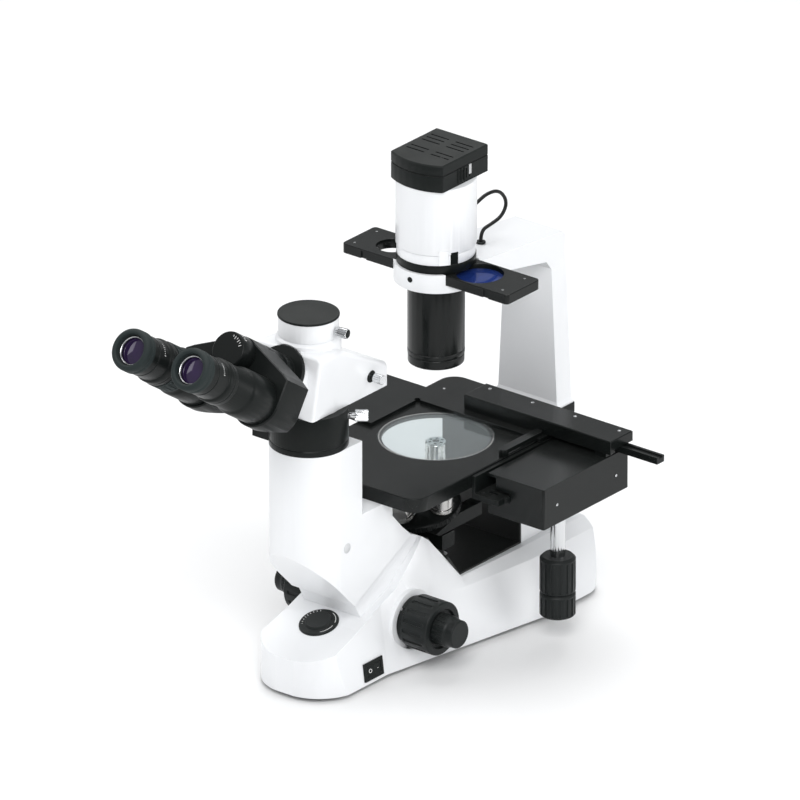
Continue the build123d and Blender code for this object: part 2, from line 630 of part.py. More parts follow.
def illumination_arm():
    """White pillar, beam and collar in one casting."""
    foot = SPACER_LOW + SPACER_THICKNESS
    front = Plane(origin=(0, PILLAR_REAR + 1, 0), x_dir=(1, 0, 0), z_dir=(0, -1, 0))
    pillar = extrude(front * make_face(Polyline(*arm_outline_across(), close=True)),
                     amount=PILLAR_REAR - PILLAR_FRONT + 8)
    side = [(PILLAR_REAR, foot), (PILLAR_REAR, ARM_REAR_HEIGHT), (PILLAR_FRONT - 3, ARM_REAR_HEIGHT + 2),
            (PILLAR_FRONT - 3, ARM_REAR_HEIGHT - ARM_DEPTH_REAR + 4),
            (PILLAR_FRONT, ARM_REAR_HEIGHT - ARM_DEPTH_REAR - 4),
            (PILLAR_FRONT, foot + 6), (PILLAR_FRONT - 2, foot + 1), (PILLAR_FRONT - 2, foot)]
    pillar = pillar & side_profile(side, 60)
    plan = Polyline((PILLAR_TOP_HALF, PILLAR_REAR), (ARM_FRONT_HALF, 10), (-ARM_FRONT_HALF, 10),
                    (-PILLAR_TOP_HALF, PILLAR_REAR), close=True)
    under = ARM_REAR_HEIGHT - ARM_DEPTH_REAR - 10
    beam = extrude(Pos(0, 0, under) * make_face(plan), amount=ARM_FRONT_HEIGHT + 10 - under)
    beam_side = [(PILLAR_REAR, ARM_REAR_HEIGHT), (20, ARM_FRONT_HEIGHT), (10, ARM_FRONT_HEIGHT),
                 (10, ARM_FRONT_HEIGHT - ARM_DEPTH_FRONT + 6), (30, ARM_FRONT_HEIGHT - ARM_DEPTH_FRONT + 2),
                 (PILLAR_FRONT - 8, ARM_REAR_HEIGHT - ARM_DEPTH_REAR + 6),
                 (PILLAR_FRONT, ARM_REAR_HEIGHT - ARM_DEPTH_REAR - 4),
                 (PILLAR_REAR, ARM_REAR_HEIGHT - ARM_DEPTH_REAR - 4)]
    beam = beam & side_profile(beam_side, 60)
    arm = pillar + beam
    rear_top = arm.edges().filter_by(Axis.X).filter_by(
        lambda e: e.center().Y > PILLAR_REAR - 1 and e.center().Z > ARM_REAR_HEIGHT - 2)
    arm = fillet(rear_top, 9)
    arm = arm + post(COLLAR_RADIUS, COLLAR_LOW, COLLAR_HIGH)
    seat = SLIDER_LOW - COLLAR_LIP
    arm = arm - post(CONDENSER_RADIUS + SEATED, COLLAR_LOW - 30, seat)
    arm = arm - post(CONDENSER_RADIUS - CONDENSER_WALL, COLLAR_LOW, COLLAR_HIGH + 1)
    half = SLIDER_WIDTH / 2 + SLIDING
    arm = arm - box(-60, 60, -half, half, SLIDER_LOW - SLIDING, COLLAR_HIGH + 1)
    gland = CABLE_ROUTE[-1]
    return arm - post(3, ARM_REAR_HEIGHT - 6, ARM_FRONT_HEIGHT + 20, gland[0], gland[1])


def condenser_tube():
    """Black condenser tube with two fine grooves near its foot."""
    r, low = CONDENSER_RADIUS, CONDENSER_LOW
    inner, top = r - CONDENSER_WALL, SLIDER_LOW - COLLAR_LIP
    points = [(inner, low), (r - 1, low), (r - 0.4, low + 0.6), (r - 0.4, low + 8), (r - 0.9, low + 8.5),
              (r, low + 9),
              (r, low + 13), (r - 0.5, low + 13.5), (r, low + 14), (r, top), (inner, top)]
    return turned(points)


def fluted(shape, radius, low, high, count, depth):
    """Cut shallow V grooves along the rim of a turned piece."""
    side = depth * sqrt(2)
    groove = Pos(radius, 0, (low + high) / 2) * Rot(0, 0, 45) * Box(side, side, high - low)
    return shape - [Rot(0, 0, 360 * i / count) * groove for i in range(count)]


def slider_holder():
    """Black disc over the slider's slot, with the post that locates the lamp house."""
    disc = post(COLLAR_RADIUS - 2.5, COLLAR_HIGH, HOLDER_TOP)
    guide = Rot(0, 0, GUIDE_POST_ANGLE) * box(LAMP_BASE_RADIUS - 6, LAMP_BASE_RADIUS - 0.5, -4, 4,
                                              HOLDER_TOP - 1, LAMP_LOW + 2)
    return disc + guide - post(CONDENSER_RADIUS - 6, COLLAR_HIGH - 1, HOLDER_TOP + 1)


def phase_slider():
    """Long black slider with an open station, a filter station and a free station."""
    left = SLIDER_SHIFT - SLIDER_LENGTH / 2
    right = SLIDER_SHIFT + SLIDER_LENGTH / 2
    half = SLIDER_WIDTH / 2
    plate = box(left, right, -half, half, SLIDER_LOW, SLIDER_LOW + SLIDER_THICKNESS)
    plate = fillet(plate.edges().filter_by(Axis.Z), 4)
    plate = chamfer(plate.faces().sort_by(Axis.Z)[-1].edges(), 0.6)
    top = SLIDER_LOW + SLIDER_THICKNESS
    for i, hole in enumerate(SLIDER_HOLES):
        plate = plate - post(hole, SLIDER_LOW - 1, top + 1, (i - 1) * SLIDER_PITCH)
    plate = plate - post(SLIDER_RECESS, SLIDER_LOW + 3, top + 1, SLIDER_PITCH)
    for x in (left + 26, right - 26):
        plate = plate - box(x - 3, x + 3, -half - 1, -half + 1.5, SLIDER_LOW - 1, top - 2)
    return plate


def slider_filter():
    """Blue glass in the right station."""
    return post(SLIDER_RECESS - SEATED, SLIDER_LOW + 3, SLIDER_LOW + 5, SLIDER_PITCH)


def lamp_housing():
    """White round lamp house on its base ring."""
    r, low = LAMP_RADIUS, HOLDER_TOP
    base = turned([(CONDENSER_RADIUS - 3, low), (LAMP_BASE_RADIUS, low), (LAMP_BASE_RADIUS, LAMP_LOW - 0.8),
                   (LAMP_BASE_RADIUS - 1, LAMP_LOW - 0.8), (LAMP_BASE_RADIUS - 1, LAMP_LOW), (r, LAMP_LOW),
                   (r, LAMP_TOP - 0.8), (r - 0.8, LAMP_TOP), (LAMP_DECK_BORE, LAMP_TOP),
                   (LAMP_DECK_BORE, LAMP_TOP - 3),
                   (r - 2.5, LAMP_TOP - 3), (r - 2.5, LAMP_LOW + 3), (CONDENSER_RADIUS - 3, LAMP_LOW + 3)])
    notch = Rot(0, 0, GUIDE_POST_ANGLE) * box(LAMP_BASE_RADIUS - 6 - SEATED, LAMP_RADIUS + 1, -4 - SEATED,
                                              4 + SEATED,
                                              low - 1, LAMP_LOW + 2 + SEATED)
    base = base - notch
    exit_point = CABLE_ROUTE[0]
    return base - Pos(0, LAMP_RADIUS, exit_point[2]) * Rot(90, 0, 0) * Cylinder(3, 14)


def cap_outline(inset):
    """Plan of the lamp cap: square with a slightly bowed front."""
    half, rear, front = CAP_HALF - inset, CAP_REAR - inset, CAP_FRONT + inset
    arc = ThreePointArc((-half, front), (0, front - CAP_BOW), (half, front))
    back = Polyline((half, front), (half, rear), (-half, rear), (-half, front))
    return make_face(Wire([arc, *back.edges()]))


def lamp_cap():
    """Black ventilated cap on the lamp house, in two tiers."""
    body = extrude(Pos(0, 0, LAMP_TOP) * cap_outline(0), amount=CAP_TOP - LAMP_TOP)
    body = fillet(body.edges().filter_by(Axis.Z), 2)
    body = chamfer(body.faces().sort_by(Axis.Z)[-1].edges(), 1.2)
    body = body - extrude(Pos(0, 0, LAMP_TOP - 1) * cap_outline(CAP_WALL),
                          amount=CAP_TOP - LAMP_TOP - CAP_WALL)
    groove = CAP_TOP - CAP_GROOVE
    outside = extrude(Pos(0, 0, groove) * cap_outline(-12), amount=1.2)
    body = body - (outside - extrude(Pos(0, 0, groove) * cap_outline(1.2), amount=1.2))
    vents = [Pos(row * 14.5, -13 + 7 * i + 9 * (i > 1), CAP_TOP - 1) * Box(21, 1.8, 8)
             for row in (-1, 1) for i in range(VENT_COUNT)]
    louvres = [Pos(side * CAP_HALF, -4 + 5 * i, groove - 7) * Box(3 * CAP_WALL, 1.8, 10)
               for side in (-1, 1) for i in range(LOUVRE_COUNT)]
    return body - vents - louvres


def halogen_lamp():
    """Small halogen capsule on two pins."""
    z = HOLDER_TOP + 26
    return turned([(0, z), (4, z), (5.5, z + 4), (5.5, z + 16), (2, z + 22), (0, z + 22)])


def lamp_socket():
    """Ceramic lamp socket on a bridge across the lamp house."""
    z = HOLDER_TOP + 26
    inner = LAMP_RADIUS - 2.5 - SEATED
    bridge = box(-inner, inner, -9, 9, z - 10, z - 7) & post(inner, z - 20, z)
    return bridge + post(8, z - 9, z)


def cable_glands():
    """Two tapered glands, at the lamp house and on the arm."""
    start, end = CABLE_ROUTE[0], CABLE_ROUTE[-1]
    top = end[2]
    arm_here = ARM_FRONT_HEIGHT + (ARM_REAR_HEIGHT - ARM_FRONT_HEIGHT) * (end[1] - 20) / (PILLAR_REAR - 20)
    lower = turned([(CABLE_RADIUS, 0), (2.9, 0), (2.9, 5.6), (4.6, 5.6), (4.6, 7.4),
                    (2.8, top - arm_here + 5),
                    (CABLE_RADIUS, top - arm_here + 5)], Pos(end[0], end[1], arm_here - 5))
    reach = start[1] - LAMP_RADIUS + 3
    upper_profile = [(CABLE_RADIUS, 0), (2.9, 0), (2.9, 3), (4.6, 3), (4.6, 4.4), (2.8, reach),
                     (CABLE_RADIUS, reach)]
    frame = Plane(origin=(start[0], LAMP_RADIUS - 3, start[2]), x_dir=(1, 0, 0), z_dir=(0, 1, 0))
    return group(lower, turned(upper_profile, frame))


def cable_line():
    """Centre line of the lamp cable: straight runs and tangent arcs."""
    points = [Vector(*p) for p in CABLE_ROUTE]
    radii = []
    for a, b, c in zip(points, points[1:], points[2:]):
        turn = (b - a).get_angle(c - b)
        run = min((b - a).length, (c - b).length)
        radii.append(CABLE_FILL * run / tan(radians(turn / 2)))
    return FilletPolyline(*points, radius=radii), radii


def lamp_cable():
    """Free cable between the lamp house and the arm."""
    line, radii = cable_line()
    print("cable radii", [round(r, 1) for r in radii], "length", round(line.length, 1))
    start = Plane(origin=line @ 0, z_dir=line % 0)
    tube = sweep(start * Circle(CABLE_RADIUS), path=line)
    print("cable volume", round(tube.volume, 1), "section times length",
          round(pi * CABLE_RADIUS ** 2 * line.length, 1))
    return tube


def head_mount_ring():
    """Black clamp ring on top of the column."""
    top = COLUMN_TOP + RING_HEIGHT
    r = RING_RADIUS
    ring = turned([(BEAM_RADIUS, COLUMN_TOP), (r, COLUMN_TOP), (r, COLUMN_TOP + 5),
                   (r - 0.7, COLUMN_TOP + 5.8),
                   (r, COLUMN_TOP + 6.6), (r, top), (SPIGOT_RADIUS + RUNNING, top),
                   (SPIGOT_RADIUS + RUNNING, top - SPIGOT_DEPTH - 1), (BEAM_RADIUS, top - SPIGOT_DEPTH - 1)])
    (x0, x1), (y0, y1), (low, high) = CLAMP_LUG
    lug = box(x0, x1, y0, y1, COLUMN_TOP + low, COLUMN_TOP + high)
    ring = Pos(0, COLUMN_AXIS, 0) * (ring + (lug - post(SPIGOT_RADIUS + 2, 0, 400)))
    hole = screw_frame() * Pos(0, 0, -6) * Cylinder(LOCK_SHANK + RUNNING, 20)
    return ring - hole


def screw_frame():
    """Frame on the ring's wall with Z outwards along the lock screw."""
    a = radians(LOCK_ANGLE)
    spot = (RING_RADIUS * cos(a), COLUMN_AXIS + RING_RADIUS * sin(a), COLUMN_TOP + LOCK_LEVEL)
    return Plane(origin=spot, x_dir=(0, 0, 1), z_dir=(cos(a), sin(a), 0))


def knurled_knob(radius, z0, z1, count, depth):
    """Short turned knob with flutes along it."""
    knob = turned([(0, z0), (radius - 0.6, z0), (radius, z0 + 0.6), (radius, z1 - 0.6), (radius - 0.6, z1),
                   (0, z1)])
    return fluted(knob, radius, z0 - 0.5, z1 + 0.5, count, depth)


def head_lock_screw():
    """Chrome screw that clamps the head."""
    shank = Pos(0, 0, 0.5) * Cylinder(LOCK_SHANK, 12)
    return screw_frame() * (shank + knurled_knob(5.6, 5.5, 18, 14, 0.7))


def head_section(y, top_half, height):
    """Cross-section of the head at one place along Y, wider at its top."""
    high = HEAD_LOW + height
    face = make_face(Polyline((-HEAD_HALF, HEAD_LOW), (HEAD_HALF, HEAD_LOW), (top_half, high),
                              (-top_half, high),
                              close=True))
    face = fillet(face.vertices().sort_by(Axis.Y)[-2:], HEAD_EDGE)
    return Plane(origin=(0, y, 0), x_dir=(1, 0, 0), z_dir=(0, -1, 0)) * face


def head_housing():
    """White head casting with the snout for the eyepieces and the seat of the photo port."""
    body = loft([head_section(*row) for row in HEAD_SECTIONS], ruled=True)
    body = fillet(body.faces().sort_by(Axis.Y)[0].edges().sort_by(Axis.Z)[1:], 3)
    seat = turned([(0, HEAD_LOW + 40), (PORT_RADIUS + 2, HEAD_LOW + 40), (PORT_RADIUS + 2, PORT_LOW - 3),
                   (PORT_RADIUS - 1, PORT_LOW), (0, PORT_LOW)], Pos(0, COLUMN_AXIS, 0))
    spigot = post(SPIGOT_RADIUS, HEAD_LOW - SPIGOT_DEPTH, HEAD_LOW + 1, 0, COLUMN_AXIS)
    snout = view_frame() * turned([(0, -44), (FLANGE_RADIUS - 2, -44), (FLANGE_RADIUS - 2, 0), (0, 0)])
    body = body + seat + spigot + (snout & box(-60, 60, -300, -180, HEAD_LOW + 1, 400))
    body = body - view_frame() * Pos(0, 0, 40) * Cylinder(FLANGE_RADIUS + 1, 80)
    body = body - post(BEAM_RADIUS, HEAD_LOW - 20, PORT_LOW + 1, 0, COLUMN_AXIS)
    body = body - prism_room()
    body = body - view_frame() * Pos(0, 0, -18) * Cylinder(RELAY_RADIUS, 46)
    rod = rod_centre()
    return body - side_rod(ROD_RADIUS + RUNNING, 0, HEAD_HALF + 10, rod[0], rod[1])


def rod_centre():
    """Y and Z of the pull rod."""
    return ROD_PLACE[0], HEAD_LOW + ROD_PLACE[1]


def prism_room():
    """Cavity in which the beam-splitter carriage slides."""
    y, z = rod_centre()
    half = PRISM_SIZE / 2
    low, high = z - half - SLIDING, z + half + SLIDING
    return box(-half - SLIDING, half + ROD_TRAVEL + SLIDING, COLUMN_AXIS - half - SLIDING, y + 6 + SLIDING,
               low, high)


def beam_splitter_rod():
    """Chrome pull rod with its knob and the carriage that holds the prism."""
    y, z = rod_centre()
    half = PRISM_SIZE / 2
    rod = side_rod(ROD_RADIUS, 0, HEAD_HALF + ROD_REACH, y, z)
    knob = Pos(HEAD_HALF + ROD_REACH, y, z) * Rot(0, 90, 0) * knurled_knob(4.6, 0, 10, 14, 0.6)
    carriage = box(-half, half, COLUMN_AXIS + half, y + 6, z - half, z + half)
    carriage = carriage - box(-half + 3, half - 3, COLUMN_AXIS + half + 3, y - 4, z - half - 1, z + half + 1)
    return rod + knob + carriage


def beam_splitter_prism():
    """Glass cube that sends the light to the eyepieces or the photo port."""
    y, z = rod_centre()
    half = PRISM_SIZE / 2
    cube = box(-half, half, COLUMN_AXIS - half, COLUMN_AXIS + half, z - half, z + half)
    return chamfer(cube.edges().filter_by(Axis.X), 1)


def photo_port_tube():
    """White photo tube on the head, with its rim."""
    r = PORT_RADIUS
    tube = turned([(PORT_BORE, PORT_LOW), (r, PORT_LOW), (r, PORT_HIGH), (PORT_BORE, PORT_HIGH)],
                  Pos(0, COLUMN_AXIS, 0))
    return tube - port_screw_frame() * Pos(0, 0, -4) * Cylinder(LOCK_SHANK - 1 + RUNNING, 30)


def port_screw_frame():
    """Frame on the photo tube's wall with Z outwards along its screw."""
    a = radians(10)
    spot = (PORT_RADIUS * cos(a), COLUMN_AXIS + PORT_RADIUS * sin(a), PORT_HIGH - 11)
    return Plane(origin=spot, x_dir=(0, 0, 1), z_dir=(cos(a), sin(a), 0))


def port_lock_screw():
    """Chrome thumb screw with a black end, which clamps a camera adapter."""
    shank = Pos(0, 0, -3.5) * Cylinder(LOCK_SHANK - 1, 9)
    return port_screw_frame() * (shank + knurled_knob(5, 1, 13, 14, 0.7))


def port_dust_cap():
    """Black dust cap that lifts off the photo port."""
    low = PORT_HIGH + SLIDING
    return turned([(0, low - 6), (PORT_BORE - RUNNING, low - 6), (PORT_BORE - RUNNING, low),
                   (PORT_RADIUS + 0.6, low),
                   (PORT_RADIUS + 0.6, low + DUST_CAP_THICKNESS - 0.6),
                   (PORT_RADIUS, low + DUST_CAP_THICKNESS),
                   (0, low + DUST_CAP_THICKNESS)], Pos(0, COLUMN_AXIS, 0))


def view_frame(distance=0.0):
    """Frame on the hinge axis: Z towards the observer, X to the right."""
    a = radians(VIEW_ANGLE)
    x, y, z = FLANGE_CENTRE
    return Plane(origin=(x, y - distance * cos(a), z + distance * sin(a)), x_dir=(1, 0, 0),
                 z_dir=(0, -cos(a), sin(a)))


def binocular_hinge():
    """Flange, spindle and scale hub on which the two prism boxes turn."""
    flange = turned([(RELAY_BORE - 2, 0), (FLANGE_RADIUS, 0), (FLANGE_RADIUS, FLANGE_THICKNESS),
                     (HINGE_RADIUS, FLANGE_THICKNESS), (HINGE_RADIUS, BOX_LOW - SLIDING),
                     (SPINDLE_RADIUS, BOX_LOW - SLIDING), (SPINDLE_RADIUS, BOX_HIGH + SLIDING),
                     (HUB_RADIUS, BOX_HIGH + SLIDING), (HUB_RADIUS, HUB_HIGH - 1), (HUB_RADIUS - 1, HUB_HIGH),
                     (0, HUB_HIGH), (0, HUB_HIGH - 6), (RELAY_BORE - 2, HUB_HIGH - 6)])
    return view_frame() * flange


def knuckle_span(side):
    """Start and end of a prism box's knuckle along the hinge."""
    middle = (BOX_LOW + BOX_HIGH) / 2
    return (middle + SLIDING / 2, BOX_HIGH) if side > 0 else (BOX_LOW, middle - SLIDING / 2)


def eye_place():
    """Right eyetube axis in the view frame's X and Y."""
    x = PUPIL_DISTANCE / 2
    return x, -sqrt(ARM_REACH ** 2 - x ** 2)


def pupil_swing(distance):
    """Turn of one half, in degrees from rest, that gives a pupil distance."""
    return degrees(asin(distance / 2 / ARM_REACH) - asin(PUPIL_DISTANCE / 2 / ARM_REACH))


def chamfer_rim(shape):
    """Small chamfer round the front face of a prism box."""
    return chamfer(shape.faces().sort_by(Axis.Z)[-1].edges(), 1.0)


def prism_box(side):
    """One half of the binocular body: a rounded prism housing with its knuckle."""
    x, y = eye_place()
    middle = (BOX_LOW + BOX_HIGH) / 2
    corner = Line(*ARM_CORNERS)
    blank = make_hull(Circle(HINGE_RADIUS).edges() + (Pos(x,
                                                          y) * Circle(BOX_RADIUS)).edges() + corner.edges())
    body = extrude(Pos(0, 0, ARM_LOW) * blank, amount=BOX_HIGH - ARM_LOW)
    (far, far_low), (near, near_low) = ARM_SLANT
    body = body - side_slab([(far_low, far), (near_low, near), (near_low - 20, near),
                             (near_low - 20, far - 1), (far_low, far - 1)],
                            -20, 90)
    # Cut back so that the halves stay apart when the eyetubes are closest
    body = body - Rot(0, 0, 1 - pupil_swing(PUPIL_LEAST)) * Pos(-50, -50, middle) * Box(100, 100, 200)
    body = chamfer_rim(body)
    start, end = knuckle_span(side)
    other_start, other_end = knuckle_span(-side)
    knuckle = post(HINGE_RADIUS, start, end)
    gap = post(HINGE_RADIUS + SLIDING, other_start - SLIDING, other_end + SLIDING)
    half = body - gap + knuckle - post(SPINDLE_RADIUS + RUNNING, 0, BOX_HIGH + 10)
    return view_frame() * (half if side > 0 else mirror(half, Plane.YZ))


def eye_part(side, points, distance):
    """Turned piece on one eyetube's axis."""
    x, y = eye_place()
    return view_frame() * (Pos(side * x, y, distance) * turned(points))


def eyetube(side):
    """Black tube on the prism box. The left one ends at its dioptre ring, the right one at the eyepiece."""
    r, bore = EYETUBE_RADIUS, SLEEVE_RADIUS + RUNNING
    n = EYETUBE_LENGTH if side < 0 else EYETUBE_LENGTH + SLIDING + DIOPTER_LENGTH
    points = [(bore, 0), (r, 0), (r, EYETUBE_LENGTH - 8), (r - 2.5, EYETUBE_LENGTH - 4), (r - 2.5, n),
              (bore, n)]
    return eye_part(side, points, BOX_HIGH)


def dioptre_ring(side):
    """Ribbed ring that focuses one eyetube."""
    n = DIOPTER_LENGTH
    r = DIOPTER_RADIUS
    ring = turned([(SLEEVE_RADIUS + RUNNING, 0), (r, 0), (r, n), (SLEEVE_RADIUS + RUNNING, n)])
    ring = fluted(ring, r, 2.5, n - 2.5, 30, 0.6)
    x, y = eye_place()
    return view_frame() * (Pos(side * x, y, BOX_HIGH + EYETUBE_LENGTH + SLIDING) * ring)


def eyepiece(side):
    """Wide-field eyepiece: the sleeve in the eyetube, the barrel and the rubber guard."""
    start = EYETUBE_LENGTH + DIOPTER_LENGTH + 2 * SLIDING
    end = start + EYEPIECE_LENGTH
    r, g = EYEPIECE_RADIUS, GUARD_RADIUS
    lip = EYE_LENS_RADIUS + 2.0
    barrel = [(EYE_LENS_RADIUS, 6), (SLEEVE_RADIUS, 6), (SLEEVE_RADIUS, start), (r + 1.8, start),
              (r + 1.8, start + 12),
              (r, start + 14), (r, end - GUARD_LENGTH - 8), (r - 1, end - GUARD_LENGTH),
              (g - 0.5, end - GUARD_LENGTH + 1),
              (g, end - 6), (g - 1.5, end - 1), (g - 3, end), (lip, end - 1), (EYE_LENS_RADIUS, end - 7)]
    return eye_part(side, barrel, BOX_HIGH)


def eye_lens(side):
    """Coated eye lens at the mouth of the eyepiece."""
    end = EYETUBE_LENGTH + DIOPTER_LENGTH + 2 * SLIDING + EYEPIECE_LENGTH
    r = EYE_LENS_RADIUS - 0.02
    points = [(0, end - 15), (r, end - 13), (r, end - 9), (0, end - 6.5)]
    return eye_part(side, points, BOX_HIGH)


def turret_frame():
    """Frame at the apex of the turret's cone, Z along its axis."""
    a = radians(TURRET_TILT)
    return Plane(origin=(0, 0, APEX), x_dir=(1, 0, 0), z_dir=(0, -sin(a), cos(a)))


def objective_frame(index):
    """Frame on one objective's seat, in the turret's frame."""
    return Rot(0, 0, 90 * index) * Rot(-TURRET_TILT, 0, 0) * Pos(0, 0, OBJECTIVE_REACH)


def turret_clearance():
    """Room that the turret's rim needs in the front wall of the bay."""
    low = TURRET_REACH - TURRET_LOW - COARSE_DOWN - TURRET_ROOM
    return turret_frame() * Pos(0, 0, low + 30) * Cylinder(TURRET_RADIUS + TURRET_ROOM, 60)


def cone_height(radius):
    """Height of the turret's dome at a radius, above the apex."""
    return TURRET_REACH - (radius - OBJECTIVE_CIRCLE) * tan(radians(TURRET_TILT))


def nosepiece_turret():
    """Revolving nosepiece with four seats and a knurled rim."""
    r, low = TURRET_RADIUS, TURRET_REACH - TURRET_LOW
    dome = turned([(PIVOT_RADIUS + RUNNING, low), (r - 2, low), (r, low + 1.5),
                   (r, cone_height(r) - TURRET_RIM),
                   (r - TURRET_RIM, cone_height(r)), (12, cone_height(12)),
                   (PIVOT_RADIUS + RUNNING, cone_height(12))])
    for i in range(4):
        dome = dome - objective_frame(i) * Cylinder(SHANK_RADIUS, 60)
        dome = dome - objective_frame(i) * Pos(0, 0, 10) * Cylinder(12.6, 20)
    dome = fluted(dome, r, low + 1.8, low + 6.5, 48, 0.6)
    return turret_frame() * dome


def objective(index):
    """One objective: barrel, grip band, stepped nose and front lens recess."""
    n = OBJECTIVE_LENGTHS[index]
    points = [(5, -SHANK_LENGTH), (SHANK_RADIUS - 0.02, -SHANK_LENGTH), (SHANK_RADIUS - 0.02, 0), (12, 0),
              (12, 5), (11.2, 5.6),
              (11.2, n * 0.55), (10.2, n * 0.62), (10.2, n - 6), (6.5, n), (3.2, n), (3.2, n - 1), (5, n - 8)]
    return turret_frame() * (objective_frame(index) * turned(points))


def objectives():
    """Four objectives on the turret."""
    return group(*[objective(i) for i in range(4)])


def nosepiece_carrier():
    """Black carrier plate with the inclined turret seat and two guide posts."""
    low = CARRIER_TOP - CARRIER_THICKNESS
    side = [(-58, CARRIER_TOP), (-40, low), (-10, low), (-10, CARRIER_TOP + 14), (-58, CARRIER_TOP + 10)]
    plate = side_profile(side, CARRIER_HALF)
    wings = side_profile([(-12, low), (24, low), (24, CARRIER_TOP), (-12, CARRIER_TOP)], CARRIER_HALF)
    wings = wings - box(-22, 22, -11, 60, 0, 200)
    plate = plate + wings
    above = turret_frame() * Pos(0, 0, TURRET_REACH - TURRET_LOW - SLIDING + 100) * Box(300, 300, 200)
    plate = plate - above
    plate = plate - post(15, 0, 300)
    pin_low, pin_high = TURRET_REACH - TURRET_LOW - 6, cone_height(12) + 2.5
    pin = turret_frame() * Pos(0, 0, (pin_low + pin_high) / 2) * Cylinder(PIVOT_RADIUS, pin_high - pin_low)
    cap = turret_frame() * Pos(0, 0, pin_high) * Cylinder(9, 3)
    plate = plate + pin + cap
    for side_sign in (-1, 1):
        plate = plate + post(GUIDE_POST, FOCUS_BLOCK_LOW + 3, low + 1, side_sign * LEG_MIDDLE, POST_Y)
    return plate


def focus_slide():
    """Coarse focus slide: the block in the bay, its two legs and the rack."""
    slide = box(-CARRIER_HALF + 2, CARRIER_HALF - 2, LEG_FRONT, BLOCK_REAR, FOCUS_BLOCK_LOW, FOCUS_BLOCK_TOP)
    slide = slide - post(15, 0, 300)
    arm_top = FOCUS_Z + 6
    arm_low = FOCUS_Z - 4
    for side in (-1, 1):
        x0, x1 = side * LEG_MIDDLE - LEG_HALF, side * LEG_MIDDLE + LEG_HALF
        slide = slide + box(x0, x1, LEG_FRONT, LEG_REAR, arm_low, FOCUS_BLOCK_LOW + 1)
        slide = slide - post(GUIDE_POST + RUNNING, FOCUS_BLOCK_LOW - 1, FOCUS_BLOCK_TOP + 1,
                             side * LEG_MIDDLE, POST_Y)
    pitch_line = FOCUS_Y + PINION_RADIUS
    x0, x1 = LEG_MIDDLE - LEG_HALF, LEG_MIDDLE + LEG_HALF
    slide = slide + box(x0, x1, pitch_line + 1.25 * RACK_MODULE, LEG_FRONT + 1, arm_low, arm_top)
    back = pitch_line + 1.25 * RACK_MODULE
    teeth = 9
    span = teeth * RACK_PITCH
    slide = slide + box(x0, x1, back, back + 5, FOCUS_Z - span / 2, FOCUS_Z + span / 2)
    for i in range(teeth):
        z = FOCUS_Z + (i - (teeth - 1) / 2) * RACK_PITCH
        tooth = Plane(origin=(x0, pitch_line, z), x_dir=(0, -1, 0), z_dir=(1, 0, 0)) * rack_tooth(RACK_MODULE)
        slide = slide + extrude(tooth, amount=x1 - x0)
    return slide


def rack_tooth(module):
    """Outline of a rack tooth that points along +X from the pitch line."""
    half_gap = 0.08 * module
    slope = tan(radians(20))
    tip = pi * module / 4 - slope * 0.9 * module - half_gap
    root = pi * module / 4 + slope * 1.25 * module - half_gap
    deep = 1.25 * module + 0.5
    return make_face(Polyline((0.9 * module, -tip), (0.9 * module, tip), (-deep, root), (-deep, -root),
                              close=True))


def pinion(module, teeth, length, phase):
    """Small spur gear about Z with straight-flanked teeth."""
    m = module
    r = m * teeth / 2
    gear = Circle(r - 1.25 * m)
    half = pi / teeth / 2
    for i in range(teeth):
        a = 2 * pi * i / teeth + radians(phase)
        pts = [(r - 1.4 * m, half * 1.55), (r, half * 0.9), (r + 0.85 * m, half * 0.38)]
        outline = [(q * cos(a + w), q * sin(a + w)) for q, w in pts]
        outline += [(q * cos(a - w), q * sin(a - w)) for q, w in reversed(pts)]
        gear = gear + make_face(Polyline(*outline, close=True))
    return extrude(gear, amount=length)


def coarse_knobs():
    """Two coarse knobs on the hollow shaft, with the rack pinion."""
    pieces = side_rod(COARSE_SHAFT_RADIUS, -COARSE_INNER - 1, COARSE_INNER + 1, FOCUS_Y, FOCUS_Z)
    gear_x = LEG_MIDDLE - LEG_HALF - 1
    gear = Plane(origin=(gear_x, FOCUS_Y, FOCUS_Z), x_dir=(0, 1, 0), z_dir=(1, 0, 0)) * pinion(
        RACK_MODULE, PINION_TEETH, 2 * LEG_HALF + 2, 180 / PINION_TEETH)
    pieces = pieces + gear
    r, n = COARSE_RADIUS, COARSE_OUTER - COARSE_INNER
    knob = turned([(0, 0), (r - 2, 0), (r, 1.5), (r, n - 1), (r - 1, n), (FINE_RADIUS + 4, n),
                   (FINE_RADIUS + 3, n - 3), (0, n - 3)])
    grip = Pos(r + 0.2, 0, n / 2 - 1) * Box(2.4, 3.6, n - 9)
    knob = knob - [Rot(0, 0, 360 * i / GRIP_COUNT) * grip for i in range(GRIP_COUNT)]
    for side in (-1, 1):
        pieces = pieces + knob_frame(side, COARSE_INNER) * knob
    return pieces - side_rod(FINE_SHAFT_RADIUS + RUNNING, -120, 120, FOCUS_Y, FOCUS_Z)


def knob_frame(side, distance):
    """Frame on the focus shaft with Z outwards to one side."""
    return Plane(origin=(side * distance, FOCUS_Y, FOCUS_Z), x_dir=(0, 1, 0), z_dir=(side, 0, 0))


def fine_knobs():
    """Two fine knobs on the through shaft."""
    shaft = side_rod(FINE_SHAFT_RADIUS, -FINE_OUTER + 3, FINE_OUTER - 3, FOCUS_Y, FOCUS_Z)
    start = COARSE_OUTER - 3 + SLIDING
    n = FINE_OUTER - start
    r = FINE_RADIUS
    knob = turned([(0, 0), (r, 0), (r - 0.4, n - 10), (r - 1.6, n - 8), (r - 1.9, n - 1.2), (r - 3, n),
                   (0, n)])
    knob = fluted(knob, r, 2, n - 11, 20, 0.8)
    pieces = shaft
    for side in (-1, 1):
        pieces = pieces + knob_frame(side, start) * knob
    return pieces


